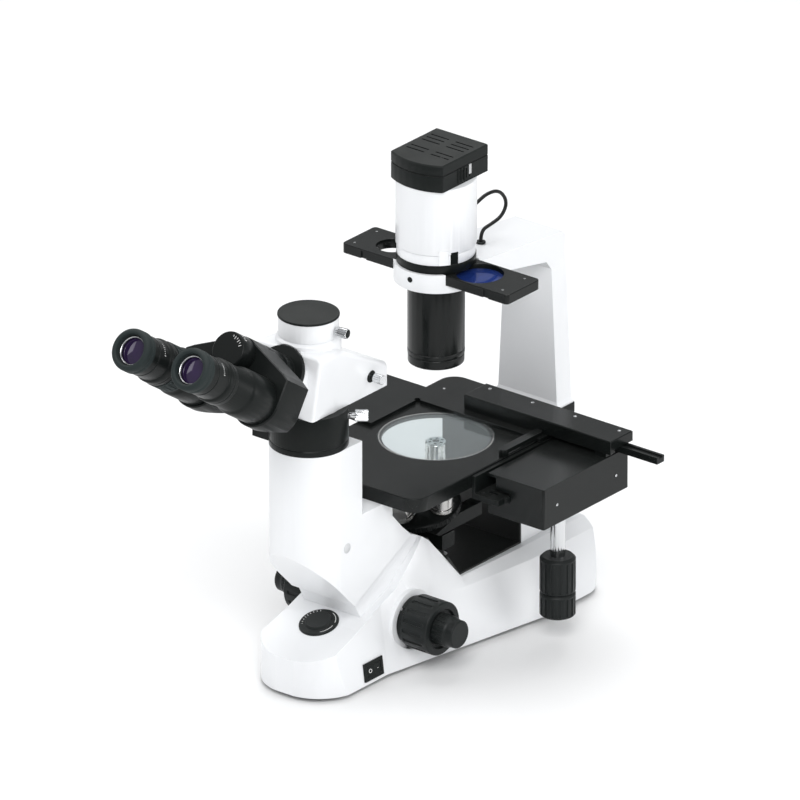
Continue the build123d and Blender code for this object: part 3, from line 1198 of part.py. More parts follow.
def tension_ring():
    """Slotted ring behind the right coarse knob that sets its drag."""
    n = COARSE_INNER - TENSION_GAP - TENSION_INNER
    ring = turned([(TENSION_BORE, 0), (TENSION_RADIUS, 0), (TENSION_RADIUS, n), (TENSION_BORE, n)])
    for i in range(4):
        ring = ring - Rot(0, 0, 45 + 90 * i) * Pos(TENSION_RADIUS, 0, 2) * Box(5, 3, 4.2)
    return knob_frame(1, TENSION_INNER) * ring


def y_guide():
    """Fixed guide on the stage's right edge, with its rack."""
    top = STAGE_TOP - 2
    wall = box(STAGE_HALF, STAGE_HALF + 4, GUIDE_FRONT, GUIDE_REAR, GUIDE_LOW, top)
    shelf = box(STAGE_HALF, GUIDE_REACH - 1.25 * STAGE_MODULE, GUIDE_FRONT, GUIDE_REAR, GUIDE_LOW,
                GUIDE_LOW + GUIDE_THICKNESS)
    guide = wall + shelf
    for y in (GUIDE_FRONT + 12, GUIDE_FRONT + 34):
        guide = guide - box(STAGE_HALF + 12, STAGE_HALF + 22, y - 1.5, y + 1.5, GUIDE_LOW - 1, GUIDE_LOW + 8)
    for i in range(STAGE_RACK_TEETH):
        y = DRIVE_Y + (i - (STAGE_RACK_TEETH - 1) / 2) * STAGE_MODULE * pi
        guide = guide + extrude(Pos(GUIDE_REACH, y, GUIDE_LOW) * rack_tooth(STAGE_MODULE),
                                amount=GUIDE_THICKNESS)
    return guide


def stage_carriage():
    """Black carriage box that runs along the guide and carries the X bar."""
    top, low = STAGE_TOP - 1, STAGE_TOP - 1 - CARRIAGE_HEIGHT
    t = CARRIAGE_WALL
    shell = box(CARRIAGE_INNER, CARRIAGE_OUTER, CARRIAGE_FRONT, CARRIAGE_REAR, low, top)
    shell = fillet(shell.edges().filter_by(Axis.Z).sort_by(Axis.X)[-2:], 2)
    shell = shell - box(CARRIAGE_INNER - 1, CARRIAGE_OUTER - t, CARRIAGE_FRONT + t, CARRIAGE_REAR - t,
                        low + t, top - t)
    way = box(CARRIAGE_INNER - 1, GUIDE_REACH + 1.5, CARRIAGE_FRONT - 1, CARRIAGE_REAR + 1,
              GUIDE_LOW - SLIDING, GUIDE_LOW + GUIDE_THICKNESS + 3)
    notch = box(CARRIAGE_INNER - 1, CARRIAGE_INNER + 9, CARRIAGE_FRONT - 1, CARRIAGE_FRONT + t + 1,
                GUIDE_LOW, top - t)
    shell = shell - way - notch
    runner = box(CARRIAGE_INNER, GUIDE_REACH - 4, CARRIAGE_FRONT + t, CARRIAGE_REAR - t, low + t,
                 GUIDE_LOW - SLIDING)
    runner = runner - box(CARRIAGE_INNER + 6, GUIDE_REACH, CARRIAGE_FRONT + 8, CARRIAGE_REAR - 8, low,
                          GUIDE_LOW)
    shell = shell + runner
    boss = post(DRIVE_SHAFT_RADIUS + 4, low, low + 12, DRIVE_X, DRIVE_Y)
    return (shell + boss) - post(DRIVE_SHAFT_RADIUS + RUNNING, low - 1, low + 20, DRIVE_X, DRIVE_Y)


def x_bar_housing():
    """Channel on the carriage in which the X rail slides."""
    low = STAGE_TOP - 1
    t = BAR_WALL
    under = low + RAIL_HEIGHT + 1 + 2 * SLIDING
    top = box(BAR_LEFT, BAR_RIGHT, BAR_FRONT, BAR_REAR, under, BAR_TOP)
    rear = box(CARRIAGE_INNER + 2, CARRIAGE_OUTER - 1, RAIL_REAR + SLIDING, BAR_REAR, low, under + 1)
    front = box(CARRIAGE_OUTER - 14, CARRIAGE_OUTER - 1, BAR_FRONT + 2, RAIL_FRONT - SLIDING, low, under + 1)
    wall = box(BAR_LEFT, BAR_RIGHT, BAR_FRONT, BAR_FRONT + BAR_WALL, PLATE_TOP + SLIDING, under + 1)
    bar = chamfer((top + wall).faces().sort_by(Axis.Z)[-1].edges(), 0.8)
    return bar + rear + front


def x_rail():
    """Long rail that slides in the bar and carries the specimen plate."""
    low = STAGE_TOP + SLIDING
    rail = box(RAIL_LEFT, RAIL_RIGHT, RAIL_FRONT, RAIL_REAR, low, low + RAIL_HEIGHT)
    groove = box(RAIL_LEFT - 1, RAIL_RIGHT + 1, RAIL_FRONT + 3, RAIL_REAR - 3, low + RAIL_HEIGHT - 2,
                 low + RAIL_HEIGHT + 1)
    return rail - groove


def specimen_plate():
    """L-shaped plate that holds slides, dishes and well plates against its inner corner."""
    low = PLATE_LOW
    back = box(PLATE_LEFT, PLATE_RIGHT, PLATE_OPENING_REAR, RAIL_FRONT, low, low + PLATE_THICKNESS)
    leg = box(PLATE_LEFT, PLATE_OPENING_LEFT, PLATE_LEG_FRONT, PLATE_OPENING_REAR + 1, low,
              low + PLATE_THICKNESS)
    lobe = post(LOBE_RADIUS, low, low + PLATE_THICKNESS, *LOBE_CENTRE)
    beyond = box(RAIL_LEFT, LOBE_CENTRE[0] + 60, RAIL_FRONT, LOBE_CENTRE[1] + 40, low - 1, low + 10)
    plate = back + leg + lobe - beyond
    plate = plate - post(3, low - 1, low + 10, PLATE_OPENING_LEFT, PLATE_OPENING_REAR)
    return plate - post(CLIP_PIN_RADIUS + RUNNING, low - 1, low + 10, CLIP_X, CLIP_PIVOT_Y)


def spring_clip():
    """Sprung arm that presses the specimen into the plate's corner."""
    low = PLATE_TOP + SLIDING
    top = low + CLIP_THICKNESS
    x0, x1 = CLIP_X - CLIP_WIDTH / 2, CLIP_X + CLIP_WIDTH / 2
    arm = box(x0, x1, CLIP_FRONT, CLIP_PIVOT_Y, low, top)
    tip = post(CLIP_WIDTH / 2, STAGE_TOP + CLIP_TIP_GAP, top, CLIP_X, CLIP_FRONT)
    root = post(CLIP_WIDTH / 2, low, top, CLIP_X, CLIP_PIVOT_Y)
    pin = post(CLIP_PIN_RADIUS, PLATE_LOW, low + 1, CLIP_X, CLIP_PIVOT_Y)
    return arm + tip + root + pin


def y_drive_knob():
    """Upper knob, which moves the carriage along Y."""
    knob = ribbed_knob(DRIVE_KNOB_RADIUS, DRIVE_KNOB_MIDDLE + SLIDING, DRIVE_KNOB_TOP)
    knob = knob - post(DRIVE_SHAFT_RADIUS, DRIVE_KNOB_TOP - DRIVE_SHAFT_SEAT, DRIVE_KNOB_TOP + 1)
    return Pos(DRIVE_X, DRIVE_Y, 0) * (knob - post(DRIVE_ROD_RADIUS + RUNNING, 0, 300))


def y_drive_shaft():
    """Hollow shaft of the upper knob, with the pinion on the guide's rack."""
    shaft = post(DRIVE_SHAFT_RADIUS, DRIVE_KNOB_TOP - DRIVE_SHAFT_SEAT, GUIDE_LOW - 1)
    gear = Pos(0, 0, GUIDE_LOW - 1) * pinion(STAGE_MODULE, STAGE_PINION_TEETH, GUIDE_THICKNESS + 2, 0)
    return Pos(DRIVE_X, DRIVE_Y, 0) * (shaft + gear - post(DRIVE_ROD_RADIUS + RUNNING, 0, 300))


def ribbed_knob(radius, z0, z1):
    """Knob with broad ribs along it."""
    knob = turned([(0, z0), (radius - 1, z0), (radius, z0 + 1), (radius, z1 - 2.5), (radius - 2.5, z1),
                   (0, z1)])
    for i in range(GRIP_COUNT):
        groove = Pos(radius + 0.4, 0, (z0 + z1) / 2 - 1) * Box(2.6, 3.2, z1 - z0 - 6)
        knob = knob - Rot(0, 0, 360 * i / GRIP_COUNT) * groove
    return knob


def x_drive():
    """Lower knob and inner rod that move the rail along X."""
    knob = Pos(DRIVE_X, DRIVE_Y, 0) * ribbed_knob(DRIVE_KNOB_RADIUS, DRIVE_KNOB_LOW, DRIVE_KNOB_MIDDLE)
    rod = post(DRIVE_ROD_RADIUS, DRIVE_KNOB_MIDDLE - 1, STAGE_TOP - 1 - CARRIAGE_WALL - 2, DRIVE_X, DRIVE_Y)
    return knob + rod


def dial_height():
    """Height of the nose's slope at the dial."""
    (y0, z0), (y1, z1) = NOSE_RISE[1], NOSE_RISE[2]
    return z0 + (z1 - z0) * (DIAL_Y - y0) / (y1 - y0)


def dial_frame():
    """Frame on the sloping nose at the brightness dial."""
    (y0, z0), (y1, z1) = NOSE_RISE[1], NOSE_RISE[2]
    a = atan2(z1 - z0, y1 - y0)
    return Plane(origin=(0, DIAL_Y, dial_height()), x_dir=(1, 0, 0), z_dir=(0, -sin(a), cos(a)))


def dial_recess():
    """Hole in the nose for the dial and its potentiometer shaft."""
    return dial_frame() * (Cylinder(DIAL_RADIUS + SLIDING, 5) + Cylinder(3 + RUNNING, 40))


def brightness_dial():
    """Flat dial with a raised grip, on its shaft."""
    r = DIAL_RADIUS
    points = [(0, -14), (3, -14), (3, -2.5 + SLIDING), (r, -2.5 + SLIDING), (r, 1.2), (r - 1, 2), (r - 6, 2),
              (r - 7, 4.5), (0, 4.5)]
    return dial_frame() * turned(points)


def side_lean():
    """Lean of the nose's side below the shoulder, in degrees."""
    return degrees(atan((NOSE_GROUND_HALF - NOSE_SHOULDER_HALF) / (SHOULDER_HEIGHT - BASE_LOW)))


def switch_frame():
    """Frame on the right flank at the power switch, Z outwards."""
    a = radians(side_lean())
    half = NOSE_GROUND_HALF - (SWITCH_Z - BASE_LOW) * tan(a)
    return Plane(origin=(half, SWITCH_Y, SWITCH_Z), x_dir=(0, 1, 0), z_dir=(cos(a), 0, sin(a)))


def switch_hole():
    """Cut-out for the rocker switch."""
    return switch_frame() * Box(SWITCH_LENGTH - 3, SWITCH_HEIGHT - 3, 40)


def inlet_hole():
    """Cut-out for the mains inlet in the back."""
    return Pos(0, BASE_REAR, INLET_Z) * Box(INLET_WIDTH, 40, INLET_HEIGHT)


def mains_fittings():
    """Switch bezel and mains inlet, both in black plastic."""
    frame = switch_frame()
    bezel = Pos(0, 0, 0.75) * Box(SWITCH_LENGTH, SWITCH_HEIGHT, 1.5) + Pos(0, 0, -6) * Box(
        SWITCH_LENGTH - 3 - 2 * SEATED, SWITCH_HEIGHT - 3 - 2 * SEATED, 12)
    bezel = bezel - Box(SWITCH_LENGTH - 7, SWITCH_HEIGHT - 7, 24)
    w, h = INLET_WIDTH - 2 * SEATED, INLET_HEIGHT - 2 * SEATED
    socket = Pos(0, BASE_REAR - 10, INLET_Z) * Box(w, 20, h) + Pos(0, BASE_REAR + 1, INLET_Z) * Box(w + 4, 2,
                                                                                                    h + 4)
    socket = socket - Pos(0, BASE_REAR - 6, INLET_Z) * Box(w - 4, 18, h - 4)
    for x, z in ((-7, -2), (7, -2), (0, 3)):
        socket = socket + Pos(x, BASE_REAR - 12, INLET_Z + z) * Box(2, 10, 4)
    return group(frame * bezel, socket)


def switch_rocker():
    """Rocker of the power switch."""
    w, h = SWITCH_LENGTH - 7 - 2 * SLIDING, SWITCH_HEIGHT - 7 - 2 * SLIDING
    body = Pos(0, 0, -2) * Box(w, h, 8)
    body = body & Rot(0, -ROCKER_TILT, 0) * Pos(0, 0, -3.5) * Box(w + 4, h + 4, 11)
    body = body & Pos(0, 0, -ROCKER_PIVOT) * Rot(90, 0, 0) * Cylinder(w / 2, 60)
    return switch_frame() * body


def power_board():
    """Power supply board with its transformer, on the bottom cover."""
    low = BASE_LOW + COVER_THICKNESS
    board = box(-45, 45, 20, 110, low + 4, low + 6)
    posts = post(3, low, low + 4, -38, 28)
    for x, y in ((38, 28), (-38, 102), (38, 102)):
        posts = posts + post(3, low, low + 4, x, y)
    core = box(-20, 20, 50, 90, low + 6, low + 32)
    return board + posts + core


def cover_screws():
    """Six countersunk screws in the bottom cover."""
    spots = [(side * x, y) for side in (-1, 1) for x, y in ((36, -160), (62, 20), (40, 140))]
    return group(*[post(3, BASE_LOW - 1.2, BASE_LOW, x, y) for x, y in spots])


def main():
    os.makedirs("parts", exist_ok=True)
    pieces = {
        "base_casting": base_casting(),
        "bottom_cover": bottom_cover(),
        "rubber_feet": rubber_feet(),
        "cover_screws": cover_screws(),
        "bay_liner": bay_liner(),
        "front_column": front_column(),
        "relay_tube": relay_tube(),
        "fixed_optics": fixed_optics(),
        "stage_plate": stage_plate(),
        "glass_insert": glass_insert(),
        "foot_spacer": foot_spacer(),
        "illumination_arm": illumination_arm(),
        "condenser_tube": condenser_tube(),
        "slider_holder": slider_holder(),
        "phase_slider": phase_slider(),
        "slider_filter": slider_filter(),
        "lamp_housing": lamp_housing(),
        "lamp_cap": lamp_cap(),
        "halogen_lamp": halogen_lamp(),
        "lamp_socket": lamp_socket(),
        "lamp_cable": lamp_cable(),
        "cable_glands": cable_glands(),
        "head_mount_ring": head_mount_ring(),
        "head_lock_screw": head_lock_screw(),
        "head_housing": head_housing(),
        "beam_splitter_rod": beam_splitter_rod(),
        "beam_splitter_prism": beam_splitter_prism(),
        "photo_port_tube": photo_port_tube(),
        "port_lock_screw": port_lock_screw(),
        "port_dust_cap": port_dust_cap(),
        "binocular_hinge": binocular_hinge(),
        "nosepiece_turret": nosepiece_turret(),
        "objectives": objectives(),
        "nosepiece_carrier": nosepiece_carrier(),
        "focus_slide": focus_slide(),
        "coarse_knobs": coarse_knobs(),
        "fine_knobs": fine_knobs(),
        "tension_ring": tension_ring(),
        "y_guide": y_guide(),
        "stage_carriage": stage_carriage(),
        "x_bar_housing": x_bar_housing(),
        "x_rail": x_rail(),
        "specimen_plate": specimen_plate(),
        "spring_clip": spring_clip(),
        "y_drive_knob": y_drive_knob(),
        "y_drive_shaft": y_drive_shaft(),
        "x_drive": x_drive(),
        "brightness_dial": brightness_dial(),
        "mains_fittings": mains_fittings(),
        "switch_rocker": switch_rocker(),
        "power_board": power_board(),
        "left_dioptre_ring": dioptre_ring(-1),
    }
    for word, side in (("left", -1), ("right", 1)):
        pieces[f"{word}_prism_box"] = prism_box(side)
        pieces[f"{word}_eyetube"] = eyetube(side)
        pieces[f"{word}_eyepiece"] = eyepiece(side)
        pieces[f"{word}_eye_lens"] = eye_lens(side)
    for name, shape in pieces.items():
        save(name, shape)


main()
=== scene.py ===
"""Finishes, small fittings, stage and camera for the inverted microscope."""

import json
from math import cos, pi, radians, sin, sqrt

import bmesh
import bpy
from mathutils import Matrix, Vector


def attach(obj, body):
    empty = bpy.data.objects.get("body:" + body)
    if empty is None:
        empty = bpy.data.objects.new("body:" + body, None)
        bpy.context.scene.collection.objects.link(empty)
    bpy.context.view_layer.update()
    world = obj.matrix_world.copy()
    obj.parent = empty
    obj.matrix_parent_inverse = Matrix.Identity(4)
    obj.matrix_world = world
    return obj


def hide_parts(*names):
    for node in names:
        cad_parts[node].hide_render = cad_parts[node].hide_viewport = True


bl_info = {
    "name": "Inverted microscope",
    "version": (1, 0, 0),
    "blender": (4, 5, 0),
    "location": "3D View > Sidebar > Microscope",
    "description": "Finishes and small fittings of an inverted microscope",
    "category": "Object",
}

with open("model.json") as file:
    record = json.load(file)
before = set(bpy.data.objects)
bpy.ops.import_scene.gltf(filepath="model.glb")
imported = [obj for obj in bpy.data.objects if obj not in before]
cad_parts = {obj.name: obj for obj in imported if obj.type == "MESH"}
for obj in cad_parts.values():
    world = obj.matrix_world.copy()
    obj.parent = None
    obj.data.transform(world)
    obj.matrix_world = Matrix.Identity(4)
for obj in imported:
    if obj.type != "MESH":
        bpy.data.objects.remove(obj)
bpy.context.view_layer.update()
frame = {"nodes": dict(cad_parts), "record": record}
NODES = frame["nodes"]
MM = 0.001

# Places that the pieces share with the solids, in millimetres and degrees
VIEW_ANGLE = 34.0
HINGE_PLACE = (0.0, -231.0, 331.0)
PUPIL_DISTANCE = 70.0
ARM_REACH = 49.6
EYETUBE_END = 136.6
EYEPIECE_LENGTH = 54.0
HUB_RADIUS = 17.5
HUB_HIGH = 93.0
TURRET_TILT = 15.0
OBJECTIVE_CIRCLE = 25.0
SEAT_HEIGHT = 137.0
OBJECTIVE_LENGTHS = [43.5, 33.0, 38.5, 43.0]
OBJECTIVE_REACH = OBJECTIVE_CIRCLE / sin(radians(TURRET_TILT))
TURRET_APEX = SEAT_HEIGHT - OBJECTIVE_REACH
STAGE_TOP = 187.0
PLATE_TOP = 190.5
DIAL_PLACE = (0.0, -175.0, 57.956)
DIAL_TILT = 17.16
DIAL_RADIUS = 19.0
SWITCH_PLACE = (48.349, -155.0, 17.5)
SIDE_LEAN = 7.524
COLUMN_AXIS = -189.5
PORT_RADIUS = 28.5
PORT_HIGH = 377.0
PORT_SCREW_ANGLE = 10.0
ROD_CENTRE = (-136.4, 304.7)
HEAD_SIDE = 31.0
CABLE_ROUTE = [
    (0, 44.5, 403), (0, 57, 403), (0, 75, 409), (0, 95, 406), (0, 107, 390),
    (0, 99, 378), (0, 83, 375.5), (0, 67, 374), (0, 67, 363.5),
]

# Small screws: levels and places of their seats in millimetres
BAR_TOP = 205.0
BAR_SCREWS = ((-3, 85.1), (48, 85.1), (98.6, 85.1), (151, 85.1))
CARRIAGE_SIDE = 154.0
CARRIAGE_SCREWS = ((-13, 165.1), (76, 163.6))
SLIDER_TOP = 367.05
SLIDER_SCREWS = ((-84, -16.5), (-84, 16.5), (92, -16.5), (92, 16.5))
CAP_TOP = 479.1
CAP_SCREWS = ((-21, 32), (17, -12))
COLLAR_SCREW = (0.8, -40.0, 361.0)
PLATE_PIN = (-57, 84, PLATE_TOP)
GUIDE_TOP = 168.0
GUIDE_SCREWS = ((88, -40), (88, -18))
SCREW_HEIGHT = 0.8

# Trim: places in millimetres
INSERT_RIM = (53.2, 54.2)
CAP_SIDE = 31.0
LATCH_PLACE = (11.2, 464.5)
RIB_START = -6.0
RIB_PITCH = 4.6
RIB_LEVEL = 462.5
BOSS_RADIUS = 37.6
BOSS_WIDTH = 2.4
BOSS_SPAN = (-48, -34)
BOSS_LEVELS = (377.6, 392.0)
PLUG_PLACE = (37.4, -179.4, 146.5)

# Printed marks on the dial and the hub: levels and radii in millimetres, arcs in degrees
DIAL_INK = (1.95, 2.03)
DIAL_LINE = DIAL_RADIUS - 2.6
DIAL_TICKS = DIAL_RADIUS - 3.4
DIAL_ARCS = ((18, 72), (-48, 2))
HUB_TICKS = 14.6

# Solids that keep their sharp edges
SHARP_SOLIDS = ("relay_tube", "power_board", "cover_screws", "halogen_lamp", "lamp_socket", "focus_slide")

# Picture: its side in pixels, its scale, and the pixel of the stage's middle
PICTURE_SIDE = 800
PIXELS_PER_MM = 1.07
ANCHOR_PIXEL = (436.0, 436.4)

# Lamps: name, place in metres, side in metres, watts, and the point that each looks at
OBJECT_AIM = (0, -0.05, 0.2)
FLOOR_AIM = (-1.6, 2.2, 0)
LAMPS = (
    ("Key", (1.3, -1.6, 1.9), 1.2, 39.0, OBJECT_AIM),
    ("Fill", (-1.9, -0.9, 1.2), 1.6, 14.0, OBJECT_AIM),
    ("Top", (-0.2, 0.5, 2.3), 1.4, 18.0, OBJECT_AIM),
    ("Side", (2.2, 0.7, 0.8), 1.2, 14.0, OBJECT_AIM),
    ("Backdrop", (-1.4, 2.0, 2.6), 2.4, 30.0, FLOOR_AIM),
)
SKY_STRENGTH = 0.42
FLOOR_HALF = 6.0


# Frames and meshes

def local_frame(place, out, across):
    """Matrix with Z along out and X along across, at a place in millimetres."""
    z = Vector(out).normalized()
    y = z.cross(Vector(across)).normalized()
    x = y.cross(z)
    turn = Matrix((x, y, z)).transposed().to_4x4()
    return Matrix.Translation(Vector(place)) @ turn


def view_frame():
    """Hinge axis of the eyepieces: Z towards the observer."""
    a = radians(VIEW_ANGLE)
    return local_frame(HINGE_PLACE, (0, -cos(a), sin(a)), (1, 0, 0))


def eye_frame(side):
    """Axis of one eyetube."""
    x = PUPIL_DISTANCE / 2
    return view_frame() @ Matrix.Translation((side * x, -sqrt(ARM_REACH ** 2 - x ** 2), 0))


def objective_frame(index):
    """Seat of one objective, with Z along its axis."""
    a = radians(TURRET_TILT)
    apex = local_frame((0, 0, TURRET_APEX), (0, -sin(a), cos(a)), (1, 0, 0))
    turn = Matrix.Rotation(radians(90 * index), 4, "Z") @ Matrix.Rotation(-a, 4, "X")
    return apex @ turn @ Matrix.Translation((0, 0, OBJECTIVE_REACH))


def dial_frame():
    """Sloping nose at the brightness dial."""
    a = radians(DIAL_TILT)
    return local_frame(DIAL_PLACE, (0, -sin(a), cos(a)), (1, 0, 0))


def switch_frame():
    """Right flank at the power switch: X towards the back, Z outwards."""
    a = radians(SIDE_LEAN)
    return local_frame(SWITCH_PLACE, (cos(a), 0, sin(a)), (0, 1, 0))


def turn_profile(bm, profile, place, steps=64, slot=0):
    """Turn (radius, height) points about the Z axis of a frame."""
    rings = []
    for r, z in profile:
        if r < 1e-6:
            rings.append([bm.verts.new(place @ Vector((0, 0, z)))])
            continue
        rings.append([bm.verts.new(place @ Vector((r * cos(2 * pi * k / steps), r * sin(2 * pi * k / steps),
                                                   z)))
                      for k in range(steps)])
    for a, b in zip(rings, rings[1:]):
        for k in range(max(len(a), len(b))):
            corners = [a[k % len(a)], a[(k + 1) % len(a)], b[(k + 1) % len(b)], b[k % len(b)]]
            corners = [v for i, v in enumerate(corners) if v not in corners[:i]]
            if len(corners) > 2:
                face = bm.faces.new(corners)
                face.material_index = slot


def raise_outline(bm, points, low, high, place, slot=0):
    """Prism from an outline in a frame's X and Y."""
    base = [bm.verts.new(place @ Vector((x, y, low))) for x, y in points]
    top = [bm.verts.new(place @ Vector((x, y, high))) for x, y in points]
    faces = [bm.faces.new(list(reversed(base))), bm.faces.new(top)]
    count = len(points)
    for k in range(count):
        faces.append(bm.faces.new([base[k], base[(k + 1) % count], top[(k + 1) % count], top[k]]))
    for face in faces:
        face.material_index = slot


def rectangle(x0, x1, y0, y1):
    """Corners of a rectangle, anticlockwise."""
    return [(x0, y0), (x1, y0), (x1, y1), (x0, y1)]


def ring_arc(radius, width, start, end, steps=12):
    """Outline of an arc of a flat ring."""
    outer = [(radius + width / 2, start + (end - start) * k / steps) for k in range(steps + 1)]
    inner = [(radius - width / 2, start + (end - start) * k / steps) for k in range(steps, -1, -1)]
    return [(r * cos(radians(a)), r * sin(radians(a))) for r, a in outer + inner]


def finish_mesh(name, bm, body, finishes, edge=0.0, smooth=38.0):
    """Turn the built faces into a named piece that rides on a body."""
    bmesh.ops.remove_doubles(bm, verts=bm.verts, dist=1e-4)
    bmesh.ops.recalc_face_normals(bm, faces=bm.faces)
    bm.transform(Matrix.Scale(MM, 4))
    mesh = bpy.data.meshes.new(name)
    bm.to_mesh(mesh)
    bm.free()
    mesh.shade_smooth()
    mesh.set_sharp_from_angle(angle=radians(smooth))
    piece = bpy.data.objects.new(name, mesh)
    bpy.context.scene.collection.objects.link(piece)
    for finish in finishes:
        mesh.materials.append(finish)
    if edge:
        round_edges(piece, edge)
    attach(piece, body)
    return piece


def round_edges(piece, width):
    """Round the sharp edges by a small bevel."""
    bevel = piece.modifiers.new("Rounded edges", "BEVEL")
    bevel.width = width * MM
    bevel.segments = 2
    bevel.limit_method = "ANGLE"
    bevel.angle_limit = radians(38)
    bevel.harden_normals = True
    bevel.use_clamp_overlap = True


# Shader groups

def new_group(name, inputs, outputs):
    """Empty shader group with named sockets."""
    group = bpy.data.node_groups.new(name, "ShaderNodeTree")
    for label, value in inputs:
        socket = group.interface.new_socket(label, in_out="INPUT", socket_type="NodeSocketFloat")
        socket.default_value = value
    for label in outputs:
        group.interface.new_socket(label, in_out="OUTPUT", socket_type="NodeSocketFloat")
    return group, group.nodes.new("NodeGroupInput"), group.nodes.new("NodeGroupOutput")


def math_node(tree, operation, first, second=None, clamp=False):
    """Math node fed by sockets or numbers."""
    node = tree.nodes.new("ShaderNodeMath")
    node.operation = operation
    node.use_clamp = clamp
    for index, value in enumerate((first, second)):
        if value is None:
            continue
        if isinstance(value, (int, float)):
            node.inputs[index].default_value = value
        else:
            tree.links.new(value, node.inputs[index])
    return node.outputs[0]


def grain_group():
    """Two scales of noise: a height for the bump and a slow change of tone."""
    group, given, result = new_group(
        "Surface grain", [("Fine scale", 900.0), ("Slow scale", 12.0), ("Detail", 2.0)], ["Height", "Tone"])
    place = group.nodes.new("ShaderNodeTexCoord").outputs["Object"]
    for scale, out, detail in (("Fine scale", "Height", True), ("Slow scale", "Tone", False)):
        noise = group.nodes.new("ShaderNodeTexNoise")
        group.links.new(place, noise.inputs["Vector"])
        group.links.new(given.outputs[scale], noise.inputs["Scale"])
        if detail:
            group.links.new(given.outputs["Detail"], noise.inputs["Detail"])
        group.links.new(noise.outputs["Fac"], result.inputs[out])
    return group


def wear_group():
    """Mask along convex edges, broken up by noise."""
    group, given, result = new_group("Edge wear", [("Width", 0.0008), ("Amount", 0.5)], ["Mask"])
    bevel = group.nodes.new("ShaderNodeBevel")
    bevel.samples = 4
    group.links.new(given.outputs["Width"], bevel.inputs["Radius"])
    flat = group.nodes.new("ShaderNodeNewGeometry")
    dot = group.nodes.new("ShaderNodeVectorMath")
    dot.operation = "DOT_PRODUCT"
    group.links.new(bevel.outputs["Normal"], dot.inputs[0])
    group.links.new(flat.outputs["Normal"], dot.inputs[1])
    edge = math_node(group, "SUBTRACT", 1.0, dot.outputs["Value"], clamp=True)
    edge = math_node(group, "MULTIPLY", edge, 5.0, clamp=True)
    noise = group.nodes.new("ShaderNodeTexNoise")
    noise.inputs["Scale"].default_value = 90.0
    noise.inputs["Detail"].default_value = 4.0
    group.links.new(group.nodes.new("ShaderNodeTexCoord").outputs["Object"], noise.inputs["Vector"])
    broken = math_node(group, "MULTIPLY", edge, noise.outputs["Fac"])
    mask = math_node(group, "MULTIPLY", broken, given.outputs["Amount"], clamp=True)
    group.links.new(mask, result.inputs["Mask"])
    return group


def dust_group():
    """Mask on faces that look up, in soft patches."""
    group, given, result = new_group("Settled dust", [("Amount", 0.1)], ["Mask"])
    flat = group.nodes.new("ShaderNodeNewGeometry")
    parts = group.nodes.new("ShaderNodeSeparateXYZ")
    group.links.new(flat.outputs["Normal"], parts.inputs[0])
    facing = math_node(group, "MULTIPLY_ADD", parts.outputs["Z"], 2.0, clamp=True)
    facing.node.inputs[2].default_value = -1.0
    noise = group.nodes.new("ShaderNodeTexNoise")
    noise.inputs["Scale"].default_value = 35.0
    noise.inputs["Detail"].default_value = 5.0
    group.links.new(group.nodes.new("ShaderNodeTexCoord").outputs["Object"], noise.inputs["Vector"])
    patch = math_node(group, "MULTIPLY", facing, noise.outputs["Fac"])
    mask = math_node(group, "MULTIPLY", patch, given.outputs["Amount"], clamp=True)
    group.links.new(mask, result.inputs["Mask"])
    return group


def brushed_group():
    """Noise drawn out level and packed closely in height, for turned and brushed metal."""
    group, given, result = new_group("Brushed lines", [("Along", 20.0), ("Across", 1800.0)], ["Lines"])
    place = group.nodes.new("ShaderNodeTexCoord").outputs["Object"]
    stretch = group.nodes.new("ShaderNodeCombineXYZ")
    for axis, label in (("X", "Along"), ("Y", "Along"), ("Z", "Across")):
        group.links.new(given.outputs[label], stretch.inputs[axis])
    scaled = group.nodes.new("ShaderNodeVectorMath")
    scaled.operation = "MULTIPLY"
    group.links.new(place, scaled.inputs[0])
    group.links.new(stretch.outputs[0], scaled.inputs[1])
    noise = group.nodes.new("ShaderNodeTexNoise")
    noise.inputs["Scale"].default_value = 1.0
    noise.inputs["Detail"].default_value = 2.0
    group.links.new(scaled.outputs[0], noise.inputs["Vector"])
    group.links.new(noise.outputs["Fac"], result.inputs["Lines"])
    return group


GROUP_MAKERS = {
    "Surface grain": grain_group,
    "Edge wear": wear_group,
    "Settled dust": dust_group,
    "Brushed lines": brushed_group,
}


def place_group(tree, name, **values):
    """Put one of the shared groups into a material with its own values."""
    group = bpy.data.node_groups.get(name) or GROUP_MAKERS[name]()
    node = tree.nodes.new("ShaderNodeGroup")
    node.node_tree = group
    for label, value in values.items():
        node.inputs[label.replace("_", " ")].default_value = value
    return node


def spread(tree, value, low, high):
    """Map a mask from 0..1 to a range."""
    node = tree.nodes.new("ShaderNodeMapRange")
    tree.links.new(value, node.inputs["Value"])
    node.inputs["To Min"].default_value = low
    node.inputs["To Max"].default_value = high
    return node.outputs["Result"]


def mix_colour(tree, mask, first, second):
    """Blend two colours by a mask. The first may be a socket."""
    node = tree.nodes.new("ShaderNodeMix")
    node.data_type = "RGBA"
    tree.links.new(mask, node.inputs["Factor"])
    if isinstance(first, (tuple, list)):
        node.inputs[6].default_value = first
    else:
        tree.links.new(first, node.inputs[6])
    node.inputs[7].default_value = second
    return node.outputs[2]


def opaque(colour):
    """Colour with full alpha."""
    return (colour[0], colour[1], colour[2], 1.0)


def shade(colour, factor):
    """The same colour, lighter or darker."""
    return opaque([min(1.0, part * factor) for part in colour])


